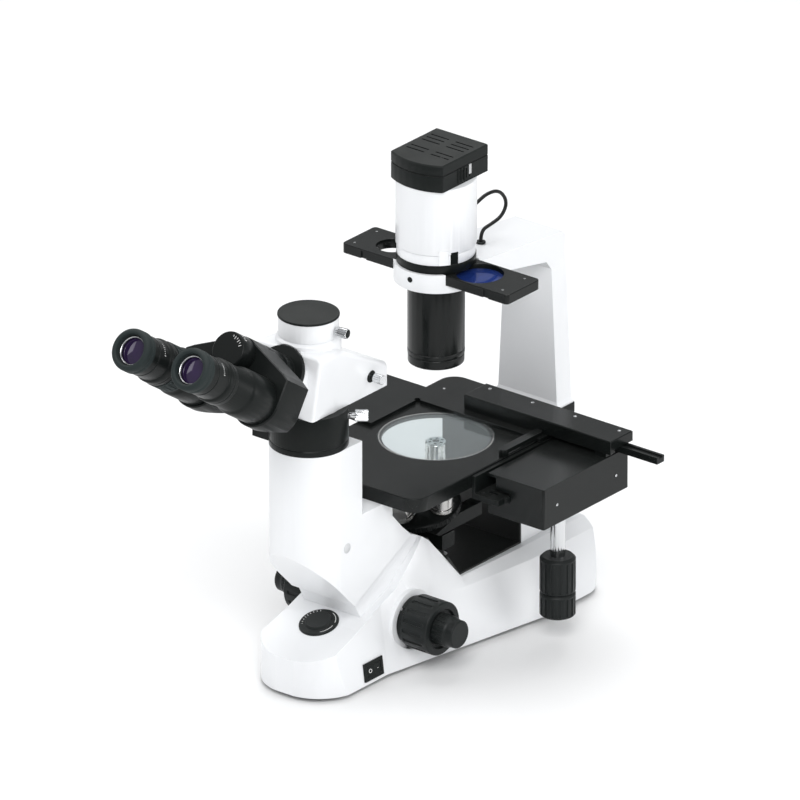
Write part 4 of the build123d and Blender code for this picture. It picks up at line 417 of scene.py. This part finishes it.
def surface(name, colour, rough, fine=900.0, bump=0.1, depth=0.05, metal=0.0, coat=0.0, spot=None, worn=None,
            wear=0.0, wear_width=0.5, dust=0.0, dust_colour=(0.55, 0.55, 0.53), tone=0.05, lines=None):
    """Opaque finish: tone, wear, dust, changing roughness and a fine bump."""
    material = bpy.data.materials.get(name)
    if material:
        return material
    material = bpy.data.materials.new(name)
    material.use_nodes = True
    tree = material.node_tree
    shader = tree.nodes["Principled BSDF"]
    grain = place_group(tree, "Surface grain", Fine_scale=fine)
    colours = mix_colour(tree, grain.outputs["Tone"], shade(colour, 1 - tone), shade(colour, 1 + tone))
    if wear:
        edge = place_group(tree, "Edge wear", Width=wear_width * MM, Amount=wear)
        colours = mix_colour(tree, edge.outputs["Mask"], colours, opaque(worn))
    if dust:
        settled = place_group(tree, "Settled dust", Amount=dust)
        colours = mix_colour(tree, settled.outputs["Mask"], colours, opaque(dust_colour))
    tree.links.new(colours, shader.inputs["Base Color"])
    height = grain.outputs["Height"]
    if lines:
        brushed = place_group(tree, "Brushed lines", Along=lines[0], Across=lines[1])
        height = brushed.outputs["Lines"]
    tree.links.new(spread(tree, height, rough * 0.85, rough * 1.2), shader.inputs["Roughness"])
    relief = tree.nodes.new("ShaderNodeBump")
    relief.inputs["Strength"].default_value = bump
    relief.inputs["Distance"].default_value = depth * MM
    tree.links.new(height, relief.inputs["Height"])
    tree.links.new(relief.outputs["Normal"], shader.inputs["Normal"])
    shader.inputs["Metallic"].default_value = metal
    shader.inputs["Coat Weight"].default_value = coat
    shader.inputs["Coat Roughness"].default_value = 0.12
    if spot is not None:
        shader.inputs["Specular IOR Level"].default_value = spot
    return material


def glass(name, colour, rough=0.02, clear=1.0, smear=0.05):
    """Polished glass with faint smears in its gloss."""
    material = bpy.data.materials.get(name)
    if material:
        return material
    material = bpy.data.materials.new(name)
    material.use_nodes = True
    tree = material.node_tree
    shader = tree.nodes["Principled BSDF"]
    grain = place_group(tree, "Surface grain", Fine_scale=60.0, Slow_scale=25.0)
    colours = mix_colour(tree, grain.outputs["Tone"], shade(colour, 0.97), shade(colour, 1.03))
    tree.links.new(colours, shader.inputs["Base Color"])
    tree.links.new(spread(tree, grain.outputs["Tone"], rough, rough + smear), shader.inputs["Roughness"])
    shader.inputs["Transmission Weight"].default_value = clear
    shader.inputs["IOR"].default_value = 1.5
    return material


def finishes():
    """Every finish on the instrument, by name."""
    look = bpy.context.scene.scope_finish
    white, black = tuple(look.white_paint), tuple(look.black_paint)
    knob, rubber = tuple(look.knob_plastic), tuple(look.rubber)
    edge = look.edge_width / MM
    return {
        "white_paint": surface("White enamel", white, 0.33, fine=700.0, bump=0.10, depth=0.06, coat=0.25,
                               tone=0.012,
                               worn=(0.70, 0.71, 0.72), wear=0.12, wear_width=edge, dust=0.05,
                               dust_colour=(0.72, 0.71, 0.69)),
        "black_paint": surface("Black satin enamel", black, 0.32, fine=1100.0, bump=0.16, depth=0.05,
                               spot=0.13, tone=0.14,
                               worn=(0.16, 0.16, 0.165), wear=0.5, wear_width=edge, dust=0.03),
        "black_gloss": surface("Black anodised aluminium", shade(black, 0.8)[:3], 0.22, fine=1600.0,
                               bump=0.05, depth=0.03,
                               spot=0.22, tone=0.1, worn=(0.2, 0.2, 0.205), wear=0.5, wear_width=edge,
                               dust=0.02),
        "black_plastic": surface("Black moulded plastic", shade(black, 1.25)[:3], 0.45, fine=1500.0,
                                 bump=0.35, depth=0.06,
                                 spot=0.14, tone=0.1, worn=(0.12, 0.12, 0.125), wear=0.5, wear_width=edge,
                                 dust=0.05),
        "knob_plastic": surface("Knob plastic", knob, 0.4, fine=1300.0, bump=0.25, depth=0.05, spot=0.2,
                                tone=0.1,
                                worn=(0.13, 0.135, 0.135), wear=0.5, wear_width=edge, dust=0.04),
        "rubber": surface("Eyecup rubber", rubber, 0.65, fine=1000.0, bump=0.3, depth=0.08, spot=0.14,
                          tone=0.12,
                          worn=(0.14, 0.15, 0.15), wear=0.3, wear_width=edge, dust=0.06),
        "cable_rubber": surface("Cable sheath", (0.007, 0.007, 0.007), 0.35, spot=0.2, fine=900.0, bump=0.2,
                                depth=0.05, tone=0.1,
                                dust=0.04),
        "chrome": surface("Polished chrome", (0.70, 0.71, 0.72), 0.14, metal=1.0, bump=0.03, depth=0.02,
                          tone=0.02,
                          lines=(30.0, 900.0)),
        "nickel": surface("Satin nickel", (0.74, 0.73, 0.71), 0.2, metal=1.0, bump=0.06, depth=0.02,
                          tone=0.03,
                          lines=(30.0, 2200.0)),
        "steel": surface("Turned steel", (0.56, 0.565, 0.57), 0.28, metal=1.0, bump=0.12, depth=0.02,
                         tone=0.05,
                         lines=(40.0, 1600.0)),
        "zinc_sheet": surface("Zinc plated sheet", (0.42, 0.425, 0.43), 0.4, metal=1.0, fine=220.0,
                              bump=0.08, depth=0.04,
                              tone=0.15),
        "clear_glass": glass("Clear glass", (0.80, 0.87, 0.88), clear=0.9, smear=0.02),
        "optics": glass("Lens glass", (0.9, 0.96, 0.97)),
        "blue_glass": glass("Blue filter glass", (0.02, 0.05, 0.25), clear=0.5),
        "coated_glass": eye_lens_finish(),
        "white_plastic": surface("Ceramic", (0.82, 0.8, 0.75), 0.55, bump=0.2, tone=0.04, dust=0.05),
        "board": surface("Circuit board", (0.03, 0.22, 0.08), 0.45, bump=0.1, tone=0.12),
        "white_marks": surface("White marking ink", (0.86, 0.86, 0.85), 0.5, bump=0.1, depth=0.02, tone=0.04),
        "front_plate": surface("Satin aluminium", (0.86, 0.87, 0.88), 0.5, metal=0.5, bump=0.06, tone=0.02),
        "plug": surface("Plug", (0.6, 0.61, 0.62), 0.4, bump=0.1, tone=0.02),
        # Darker black for two uses: the bay liner's folded sheet, and the painted hole shade on the
        # objective's front.
        "liner_and_hole_shade": surface("Black folded sheet and painted hole shade", shade(black, 0.7)[:3], 0.5, fine=1200.0, bump=0.2, depth=0.05,
                         tone=0.15,
                         worn=(0.1, 0.1, 0.1), wear=0.4, wear_width=edge),
    }


def eye_lens_finish():
    """Coated eye lens: dark purple glass with a violet coat."""
    name = "Coated eye lens"
    material = bpy.data.materials.get(name)
    if material:
        return material
    material = bpy.data.materials.new(name)
    material.use_nodes = True
    tree = material.node_tree
    shader = tree.nodes["Principled BSDF"]
    grain = place_group(tree, "Surface grain", Fine_scale=40.0, Slow_scale=90.0)
    body = mix_colour(tree, grain.outputs["Tone"], (0.014, 0.007, 0.028, 1), (0.03, 0.015, 0.055, 1))
    tree.links.new(body, shader.inputs["Base Color"])
    tree.links.new(spread(tree, grain.outputs["Tone"], 0.03, 0.08), shader.inputs["Roughness"])
    shader.inputs["Coat Weight"].default_value = 0.45
    shader.inputs["Coat Roughness"].default_value = 0.03
    shader.inputs["Coat Tint"].default_value = (0.8, 0.7, 1.0, 1.0)
    return material


# Settings

class SCOPE_PG_finish(bpy.types.PropertyGroup):
    """Colours and edge sizes of the finishes."""
    white_paint: bpy.props.FloatVectorProperty(
        name="White paint", description="Colour of the enamelled castings", subtype="COLOR", size=3, min=0,
                                               max=1,
        default=(0.82, 0.83, 0.845))
    black_paint: bpy.props.FloatVectorProperty(
        name="Black paint", description="Colour of the black enamelled pieces", subtype="COLOR", size=3,
                                               min=0, max=1,
        default=(0.0072, 0.0088, 0.0084))
    knob_plastic: bpy.props.FloatVectorProperty(
        name="Knob plastic", description="Colour of the moulded knobs", subtype="COLOR", size=3, min=0, max=1,
        default=(0.010, 0.0122, 0.012))
    rubber: bpy.props.FloatVectorProperty(
        name="Rubber", description="Colour of the eyecups and the feet", subtype="COLOR", size=3, min=0,
                                          max=1,
        default=(0.020, 0.027, 0.027))
    edge_width: bpy.props.FloatProperty(
        name="Edge wear", description="Width of the worn band along edges", subtype="DISTANCE", unit="LENGTH",
        default=0.0005, min=0.0, max=0.005)
    edge_round: bpy.props.FloatProperty(
        name="Edge rounding", description="Rounding of the sharp edges of the solids", subtype="DISTANCE",
        unit="LENGTH", default=0.0004, min=0.0, max=0.003)


class SCOPE_PG_fittings(bpy.types.PropertyGroup):
    """Sizes of the small fittings."""
    cable_diameter: bpy.props.FloatProperty(
        name="Cable", description="Diameter of the lamp cable", subtype="DISTANCE", unit="LENGTH",
        default=0.0035, min=0.001, max=0.01)
    screw_radius: bpy.props.FloatProperty(
        name="Screw head", description="Radius of the small screw heads", subtype="DISTANCE", unit="LENGTH",
        default=0.002, min=0.0005, max=0.006)
    mark_width: bpy.props.FloatProperty(
        name="Mark width", description="Width of the printed marks", subtype="DISTANCE", unit="LENGTH",
        default=0.0005, min=0.0001, max=0.003)


class SCOPE_PG_stage(bpy.types.PropertyGroup):
    """Camera direction and light of the picture."""
    azimuth: bpy.props.FloatProperty(
        name="Azimuth", description="Camera direction, from the front towards the right", subtype="ANGLE",
        unit="ROTATION", default=radians(38.6))
    elevation: bpy.props.FloatProperty(
        name="Elevation", description="Camera height above the horizon", subtype="ANGLE", unit="ROTATION",
        default=radians(24.07))
    distance: bpy.props.FloatProperty(
        name="Distance", description="From the camera to the object", subtype="DISTANCE", unit="LENGTH",
                                      default=20.0)
    floor_colour: bpy.props.FloatVectorProperty(
        name="Floor", description="Colour of the floor", subtype="COLOR", size=3, min=0, max=1,
        default=(0.93, 0.93, 0.93))
    light: bpy.props.FloatProperty(
        name="Light", description="Strength of all lights together", default=1.0, min=0.0, max=10.0)


# Pieces

class SCOPE_OT_surfaces(bpy.types.Operator):
    """Give each solid its finish and rounded edges"""
    bl_idname = "scope.surfaces"
    bl_label = "Finishes of the solids"

    def execute(self, context):
        looks = finishes()
        special = {"stage_plate": "black_gloss", "condenser_tube": "black_gloss",
                   "x_bar_housing": "black_gloss",
                   "stage_carriage": "black_gloss", "specimen_plate": "black_gloss", "x_rail": "black_gloss",
                   "spring_clip": "black_gloss", "phase_slider": "black_gloss", "bay_liner": "liner_and_hole_shade"}
        glassy = ("clear_glass", "optics", "blue_glass", "coated_glass")
        for row in frame["record"]["subparts"]:
            node, slot = row["node"], row["material_slot"]
            solid = NODES[node]
            look = looks[special.get(node, slot)]
            if not solid.material_slots:
                solid.data.materials.append(look)
            for holder in solid.material_slots:
                holder.material = look
            if slot in glassy or node in SHARP_SOLIDS:
                continue
            soften(solid, context.scene.scope_finish.edge_round)
        return {"FINISHED"}


def soften(solid, width):
    """Join the facets of a solid and round its sharp edges."""
    weld = solid.modifiers.new("Joined facets", "WELD")
    weld.merge_threshold = 1e-6
    flat = solid.modifiers.new("Plain faces", "DECIMATE")
    flat.decimate_type = "DISSOLVE"
    flat.angle_limit = radians(0.5)
    bevel = solid.modifiers.new("Rounded edges", "BEVEL")
    bevel.width = width
    bevel.segments = 2
    bevel.limit_method = "ANGLE"
    bevel.angle_limit = radians(35)
    bevel.harden_normals = True


class SCOPE_OT_lamp_cable(bpy.types.Operator):
    """Free loop of cable between the lamp house and the arm"""
    bl_idname = "scope.lamp_cable"
    bl_label = "Lamp cable"

    def execute(self, context):
        diameter = context.scene.scope_fittings.cable_diameter
        curve = bpy.data.curves.new("lamp_cable_line", "CURVE")
        curve.dimensions = "3D"
        curve.bevel_depth = diameter / 2
        curve.bevel_resolution = 6
        curve.resolution_u = 16
        line = curve.splines.new("NURBS")
        line.points.add(len(CABLE_ROUTE) - 1)
        for point, place in zip(line.points, CABLE_ROUTE):
            point.co = (*(part * MM for part in place), 1.0)
        line.order_u = 3
        line.use_endpoint_u = True
        cable = bpy.data.objects.new("lamp_cable_sheath", curve)
        context.scene.collection.objects.link(cable)
        curve.materials.append(finishes()["cable_rubber"])
        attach(cable, "stand")
        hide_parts("lamp_cable")
        return {"FINISHED"}


class SCOPE_OT_eyepieces(bpy.types.Operator):
    """Eyepieces with rubber eyecups and eye lenses"""
    bl_idname = "scope.eyepieces"
    bl_label = "Eyepieces"

    def execute(self, context):
        looks = finishes()
        start, end = EYETUBE_END, EYETUBE_END + EYEPIECE_LENGTH
        barrel = [(15.0, start - 58), (15.0, start), (21.3, start), (21.3, start + 4.6), (20.8, start + 5.1),
                  (20.8, start + 5.6), (21.3, start + 6.1), (21.3, start + 11.6), (20.6, start + 12.6),
                  (19.5, start + 13.6),
                  (19.5, end - 24), (18.9, end - 23.4), (18.9, end - 22.6), (19.5, end - 22),
                  (19.3, end - 15),
                  (17.0, end - 13), (14.4, end - 8), (12.6, end - 8), (12.6, end - 16), (12.6, start - 58),
                  (15.0, start - 58)]
        cup = [(18.6, end - 14.4), (20.3, end - 14), (20.5, end - 13), (20.5, end - 9.6), (20.2, end - 9.1),
               (20.5, end - 8.6), (20.5, end - 4), (20.1, end - 2.3), (19.0, end - 1.2), (17.5, end - 0.6),
               (16.2, end - 0.6),
               (15.2, end - 1.2), (14.9, end - 2.4), (14.4, end - 7), (14.2, end - 8.6), (18.0, end - 10.6),
               (18.6, end - 14.4)]
        seat = [(14.7, end - 7.2), (14.7, end - 6.2), (14.1, end - 5.7), (13.4, end - 6.0),
                (13.4, end - 7.4), (14.7, end - 7.2)]
        rim = [(13.38, end - 7.4), (13.38, end - 6.1), (12.7, end - 6.4), (12.55, end - 7.4),
               (13.38, end - 7.4)]
        for word, side in (("left", -1), ("right", 1)):
            place, body = eye_frame(side), f"{word}_binocular"
            bm = bmesh.new()
            turn_profile(bm, barrel, place, 72)
            piece = finish_mesh(f"{word}_eyepiece_barrel", bm, body, [looks["black_paint"]],
                                edge=0.25)
            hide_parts(f"{word}_eyepiece")
            bm = bmesh.new()
            turn_profile(bm, cup, place, 72)
            finish_mesh(f"{word}_eyecup", bm, body, [looks["rubber"]], smooth=60)
            bm = bmesh.new()
            turn_profile(bm, seat, place, 72)
            finish_mesh(f"{word}_lens_ring", bm, body, [looks["black_gloss"]], smooth=60)
            bm = bmesh.new()
            turn_profile(bm, rim, place, 72)
            finish_mesh(f"{word}_lens_rim", bm, body, [looks["steel"]], smooth=60)
            bm = bmesh.new()
            for angle, reach in ((20, 1.2), (26, 0.7), (32, 0.7), (38, 0.7), (44, 1.2), (50, 0.7), (56, 0.7)):
                spot = place @ Matrix.Rotation(radians(angle), 4,
                                               "Z") @ Matrix.Translation((19.47, 0, start + 22))
                raise_outline(bm, rectangle(0, 0.06, -0.25, 0.25), -reach, reach, spot)
            finish_mesh(f"{word}_eyepiece_marks", bm, body, [looks["white_marks"]])
        return {"FINISHED"}


class SCOPE_OT_objectives(bpy.types.Operator):
    """Four objectives with knurled grips and coloured bands"""
    bl_idname = "scope.objectives"
    bl_label = "Objectives"

    def execute(self, context):
        looks = finishes()
        bands = [(0.5, 0.02, 0.02), (0.02, 0.3, 0.06), (0.03, 0.12, 0.5)]
        bm = bmesh.new()
        for index, n in enumerate(OBJECTIVE_LENGTHS):
            profile = [(5, -4.5), (9.9, -4.5), (9.9, 0), (12, 0), (12, 1.2), (11.7, 1.4), (12, 1.6),
                       (12, 2.2), (11.7, 2.4),
                       (12, 2.6), (12, 3.2), (11.7, 3.4), (12, 3.6), (12, 5), (11.2, 5.6), (11.2, n * 0.42),
                       (10.9, n * 0.42 + 0.3), (10.9, n * 0.42 + 0.8), (11.2, n * 0.42 + 1.1),
                       (11.2, n * 0.55),
                       (10.2, n * 0.62), (10.2, n - 9), (9.9, n - 8.7), (9.9, n - 8), (10.2, n - 7.7),
                       (10.2, n - 6),
                       (8.9, n - 4.6), (6.5, n), (3.2, n), (3.2, n - 1), (5, n - 8), (5, -4.5)]
            if index == 0:
                profile[-8:-2] = [(10.2, n - 6), (10.2, n - 1.4), (9.8, n - 0.8), (9.2, n - 0.5), (9.2, n),
                                  (3.2, n)]
            turn_profile(bm, profile, objective_frame(index), 72)
        piece = finish_mesh("objective_barrels", bm, "turret", [looks["nickel"]], smooth=25)
        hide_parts("objectives")
        bm = bmesh.new()
        top = OBJECTIVE_LENGTHS[0]
        turn_profile(bm, [(3.3, top - 0.2), (9.1, top - 0.2), (9.1, top + 0.05), (3.3, top + 0.05),
                          (3.3, top - 0.2)],
                     objective_frame(0), 56)
        finish_mesh("objective_front_plate", bm, "turret", [looks["front_plate"]])
        # Six dark discs on the objective's front plate: painted shade that stands in for holes, which are not
        # cut.
        bm = bmesh.new()
        for step in range(6):
            hole_shade_spot = objective_frame(0) @ Matrix.Rotation(radians(60 * step), 4, "Z")
            hole_shade_spot = hole_shade_spot @ Matrix.Translation((6.2, 0, top))
            turn_profile(bm, [(1.5, -0.2), (1.5, 0.09), (0, 0.09)], hole_shade_spot, 16)
        finish_mesh("objective_front_hole_shade", bm, "turret", [looks["liner_and_hole_shade"]])
        for index, colour in enumerate(bands, 1):
            n = OBJECTIVE_LENGTHS[index]
            ink = surface(f"Objective band {index}", colour, 0.35, bump=0.05, tone=0.05)
            bm = bmesh.new()
            low = n * 0.62 + 1.5
            turn_profile(bm, [(10.0, low), (10.26, low), (10.26, low + 1.4), (10.0, low + 1.4), (10.0, low)],
                         objective_frame(index), 56)
            finish_mesh(f"objective_band_{index}", bm, "turret", [ink])
        bm = bmesh.new()
        for index, n in enumerate(OBJECTIVE_LENGTHS):
            turn_profile(bm, [(0, n - 1.6), (3.1, n - 1.3), (3.1, n - 0.7), (0, n - 0.4)],
                         objective_frame(index), 32)
        finish_mesh("objective_front_lenses", bm, "turret", [looks["optics"]])
        return {"FINISHED"}


def screw_head(bm, place, radius):
    """Domed screw head with a round socket."""
    r, h = radius, SCREW_HEIGHT
    head = [(r, -0.4), (r, h * 0.6), (r - 0.25 * h, h * 0.9), (r * 0.62, h), (r * 0.5, h)]
    turn_profile(bm, [*head, (r * 0.46, h * 0.4), (0, h * 0.25)], place, 24)


class SCOPE_OT_screws(bpy.types.Operator):
    """Small screws on the stage, the slider, the cap, the collar and the guide"""
    bl_idname = "scope.screws"
    bl_label = "Small screws"

    def execute(self, context):
        looks = finishes()
        r = context.scene.scope_fittings.screw_radius / MM
        up, right = (0, 0, 1), (1, 0, 0)
        groups = [
            ("bar_screws", "stage_carriage", "chrome", r * 0.85,
             [((x, y, BAR_TOP), up, right) for x, y in BAR_SCREWS]),
            ("carriage_side_screws", "stage_carriage", "chrome", r * 0.7,
             [((CARRIAGE_SIDE, y, z), right, up) for y, z in CARRIAGE_SCREWS]),
            ("slider_screws", "phase_slider", "chrome", r * 0.75,
             [((x, y, SLIDER_TOP), up, right) for x, y in SLIDER_SCREWS]),
            ("cap_screws", "stand", "black_paint", r * 1.1,
             [((x, y, CAP_TOP), up, right) for x, y in CAP_SCREWS]),
            ("collar_screw", "stand", "black_paint", r * 1.35, [(COLLAR_SCREW, (0, -1, 0), right)]),
            ("plate_pin", "specimen_holder", "chrome", r * 0.6, [(PLATE_PIN, up, right)]),
            ("guide_screws", "stand", "black_paint", r * 1.1,
             [((x, y, GUIDE_TOP), up, right) for x, y in GUIDE_SCREWS]),
        ]
        for name, body, look, radius, spots in groups:
            bm = bmesh.new()
            for spot, out, across in spots:
                screw_head(bm, local_frame(spot, out, across), radius)
            finish_mesh(name, bm, body, [looks[look]], smooth=30)
        return {"FINISHED"}


class SCOPE_OT_marks(bpy.types.Operator):
    """Plain marks on the dial, the switch and the hinge scale"""
    bl_idname = "scope.marks"
    bl_label = "Scales and marks"

    def execute(self, context):
        looks = finishes()
        ink, width = looks["white_marks"], context.scene.scope_fittings.mark_width / MM
        # Dial: a row of growing ticks and two arcs on the flat rim
        bm = bmesh.new()
        place = dial_frame()
        for start, end in DIAL_ARCS:
            raise_outline(bm, ring_arc(DIAL_LINE, width, start, end), *DIAL_INK, place)
        for step in range(9):
            spot = place @ Matrix.Rotation(radians(216 - 12 * step), 4, "Z")
            reach = 0.4 + 0.12 * step
            tick = rectangle(DIAL_TICKS - reach, DIAL_TICKS + reach, -width / 2, width / 2)
            raise_outline(bm, tick, *DIAL_INK, spot)
        finish_mesh("dial_marks", bm, "brightness_dial", [ink])
        # Switch: O and I
        bm = bmesh.new()
        place = switch_frame()
        off = place @ Matrix.Translation((-5.0, 0, 1.24)) @ Matrix.Rotation(radians(-9), 4, "Y")
        raise_outline(bm, ring_arc(1.7, width, 0, 179.9, 16), -0.05, 0.06, off)
        raise_outline(bm, ring_arc(1.7, width, 180, 359.9, 16), -0.05, 0.06, off)
        raise_outline(bm, rectangle(4.4, 5.6, -width / 2, width / 2), 1.95, 2.05, place)
        finish_mesh("switch_marks", bm, "switch_rocker", [ink])
        # Hinge: pupil distance scale on the hub's side, and a short one on its end
        bm = bmesh.new()
        for step in range(9):
            angle = 50 + 7.5 * step
            reach = 2.2 if step % 2 == 0 else 1.3
            spot = view_frame() @ Matrix.Rotation(radians(angle), 4, "Z")
            spot = spot @ Matrix.Translation((HUB_RADIUS - 0.03, 0, HUB_HIGH - 6))
            raise_outline(bm, rectangle(0, 0.08, -width / 2, width / 2), -reach, reach, spot)
        for step in range(6):
            reach = 1.6 if step % 2 == 0 else 0.9
            spot = view_frame() @ Matrix.Rotation(radians(30 + 11 * step), 4, "Z")
            tick = rectangle(HUB_TICKS - 2 * reach, HUB_TICKS, -width / 2, width / 2)
            raise_outline(bm, tick, HUB_HIGH - 0.02, HUB_HIGH + 0.05, spot)
        finish_mesh("hinge_scale", bm, "head", [ink])
        return {"FINISHED"}


class SCOPE_OT_trim(bpy.types.Operator):
    """Insert rim, lamp latch, ribs and boss, rod bushing, screw end and plug"""
    bl_idname = "scope.trim"
    bl_label = "Trim pieces"

    def execute(self, context):
        looks = finishes()
        up = Matrix.Identity(4)
        bm = bmesh.new()
        inner, outer = INSERT_RIM
        high = STAGE_TOP + 0.1
        turn_profile(bm, [(inner, STAGE_TOP), (inner, high), (outer, high), (outer, STAGE_TOP)], up, 96)
        finish_mesh("insert_rim", bm, "stand", [looks["nickel"]])
        bm = bmesh.new()
        latch = local_frame((CAP_SIDE, *LATCH_PLACE), (1, 0, 0), (0, 1, 0))
        raise_outline(bm, rectangle(-1.8, 1.8, -5, 5), -0.6, 0.7, latch)
        finish_mesh("lamp_latch", bm, "stand", [looks["steel"]], edge=0.3)
        bm = bmesh.new()
        for step in range(3):
            rib = local_frame((CAP_SIDE, RIB_START + RIB_PITCH * step, RIB_LEVEL), (1, 0, 0), (0, 1, 0))
            raise_outline(bm, rectangle(-0.8, 0.8, -7, 7), -0.5, 0.9, rib)
        finish_mesh("cap_ribs", bm, "stand", [looks["black_plastic"]], edge=0.3)
        bm = bmesh.new()
        raise_outline(bm, ring_arc(BOSS_RADIUS, BOSS_WIDTH, *BOSS_SPAN, 6), *BOSS_LEVELS, up)
        finish_mesh("lamp_locating_boss", bm, "stand", [looks["white_paint"]], edge=0.4)
        bm = bmesh.new()
        rod = local_frame((HEAD_SIDE, *ROD_CENTRE), (1, 0, 0), (0, 1, 0))
        turn_profile(bm, [(3.1, -0.4), (6.0, -0.4), (6.0, 0.8), (5.5, 1.4), (3.1, 1.4), (3.1, -0.4)], rod, 40)
        finish_mesh("pull_rod_bushing", bm, "head", [looks["black_paint"]])
        bm = bmesh.new()
        a = radians(PORT_SCREW_ANGLE)
        spot = (PORT_RADIUS * cos(a), COLUMN_AXIS + PORT_RADIUS * sin(a), PORT_HIGH - 11)
        screw = local_frame(spot, (cos(a), sin(a), 0), (0, 0, 1))
        turn_profile(bm, [(0, 12.6), (4.1, 12.6), (4.1, 13.1), (3.6, 13.5), (0, 13.6)], screw, 32)
        finish_mesh("port_screw_end", bm, "port_lock_screw", [looks["black_plastic"]])
        bm = bmesh.new()
        plug = local_frame(PLUG_PLACE, (1, 0, 0), (0, 1, 0))
        turn_profile(bm, [(5.0, -0.2), (5.0, 0.1), (4.7, 0.32), (0, 0.36)], plug, 40)
        finish_mesh("column_plug", bm, "stand", [looks["plug"]])
        return {"FINISHED"}


class SCOPE_OT_stage(bpy.types.Operator):
    """Pale floor, soft light and the camera"""
    bl_idname = "scope.stage"
    bl_label = "Floor, light and camera"

    def execute(self, context):
        scene, view = context.scene, context.scene.scope_stage
        bm = bmesh.new()
        bmesh.ops.create_grid(bm, x_segments=1, y_segments=1, size=FLOOR_HALF)
        mesh = bpy.data.meshes.new("floor")
        bm.to_mesh(mesh)
        bm.free()
        floor = bpy.data.objects.new("floor", mesh)
        scene.collection.objects.link(floor)
        mesh.materials.append(surface("Pale floor", tuple(view.floor_colour), 0.6, fine=40.0, bump=0.0,
                                      tone=0.005))
        world = bpy.data.worlds.new("Studio")
        scene.world = world
        world.use_nodes = True
        sky = world.node_tree.nodes["Background"]
        sky.inputs["Color"].default_value = (0.96, 0.98, 1.0, 1.0)
        sky.inputs["Strength"].default_value = SKY_STRENGTH * view.light
        for name, place, size, power, target in LAMPS:
            data = bpy.data.lights.new(name, "AREA")
            data.shape = "SQUARE"
            data.size = size
            data.energy = power * view.light
            lamp = bpy.data.objects.new(name, data)
            scene.collection.objects.link(lamp)
            lamp.location = place
            aim = Vector(target) - lamp.location
            lamp.rotation_euler = aim.to_track_quat("-Z", "Y").to_euler()
        self.place_camera(scene, view)
        scene.view_settings.view_transform = "Standard"
        return {"FINISHED"}

    def place_camera(self, scene, view):
        """Camera far away at the photograph's angle, so that upright edges stay upright."""
        a, e = view.azimuth, view.elevation
        right = Vector((cos(a), sin(a), 0))
        rise = Vector((-sin(a) * sin(e), cos(a) * sin(e), cos(e)))
        back = Vector((sin(a) * cos(e), -cos(a) * cos(e), sin(e)))
        scale = PIXELS_PER_MM / MM
        target = Vector((0, 0, STAGE_TOP * MM)) - right * (ANCHOR_PIXEL[0] - PICTURE_SIDE / 2) / scale
        target += rise * (ANCHOR_PIXEL[1] - PICTURE_SIDE / 2) / scale
        data = bpy.data.cameras.new("Camera")
        data.sensor_width = 36.0
        data.lens = scale * view.distance / PICTURE_SIDE * data.sensor_width
        data.clip_end = view.distance * 3
        camera = bpy.data.objects.new("Camera", data)
        scene.collection.objects.link(camera)
        camera.location = target + back * view.distance
        camera.rotation_euler = (-back).to_track_quat("-Z", "Y").to_euler()
        scene.camera = camera


OPERATORS = (SCOPE_OT_surfaces, SCOPE_OT_lamp_cable, SCOPE_OT_eyepieces, SCOPE_OT_objectives, SCOPE_OT_screws,
             SCOPE_OT_marks, SCOPE_OT_trim, SCOPE_OT_stage)


class SCOPE_PT_panel(bpy.types.Panel):
    """Lists the microscope's settings and pieces"""
    bl_idname = "SCOPE_PT_panel"
    bl_label = "Inverted microscope"
    bl_space_type = "VIEW_3D"
    bl_region_type = "UI"
    bl_category = "Microscope"

    def draw(self, context):
        for name in ("scope_finish", "scope_fittings", "scope_stage"):
            group = getattr(context.scene, name)
            box = self.layout.box()
            for key in group.__annotations__:
                box.prop(group, key)
        for operator in OPERATORS:
            self.layout.operator(operator.bl_idname)


SETTINGS = (("scope_finish", SCOPE_PG_finish), ("scope_fittings", SCOPE_PG_fittings),
            ("scope_stage", SCOPE_PG_stage))


def register():
    """Add the settings, the operators and the panel."""
    for name, group in SETTINGS:
        bpy.utils.register_class(group)
        setattr(bpy.types.Scene, name, bpy.props.PointerProperty(type=group))
    for item in (*OPERATORS, SCOPE_PT_panel):
        bpy.utils.register_class(item)


def unregister():
    """Take them away again."""
    for item in (SCOPE_PT_panel, *reversed(OPERATORS)):
        bpy.utils.unregister_class(item)
    for name, group in reversed(SETTINGS):
        delattr(bpy.types.Scene, name)
        bpy.utils.unregister_class(group)


def main():
    """Build the scene."""
    register()
    bpy.ops.scope.stage()
    bpy.ops.scope.lamp_cable()
    bpy.ops.scope.surfaces()
    bpy.ops.scope.eyepieces()
    bpy.ops.scope.objectives()
    bpy.ops.scope.screws()
    bpy.ops.scope.marks()
    bpy.ops.scope.trim()


if __name__ == "__main__":
    main()
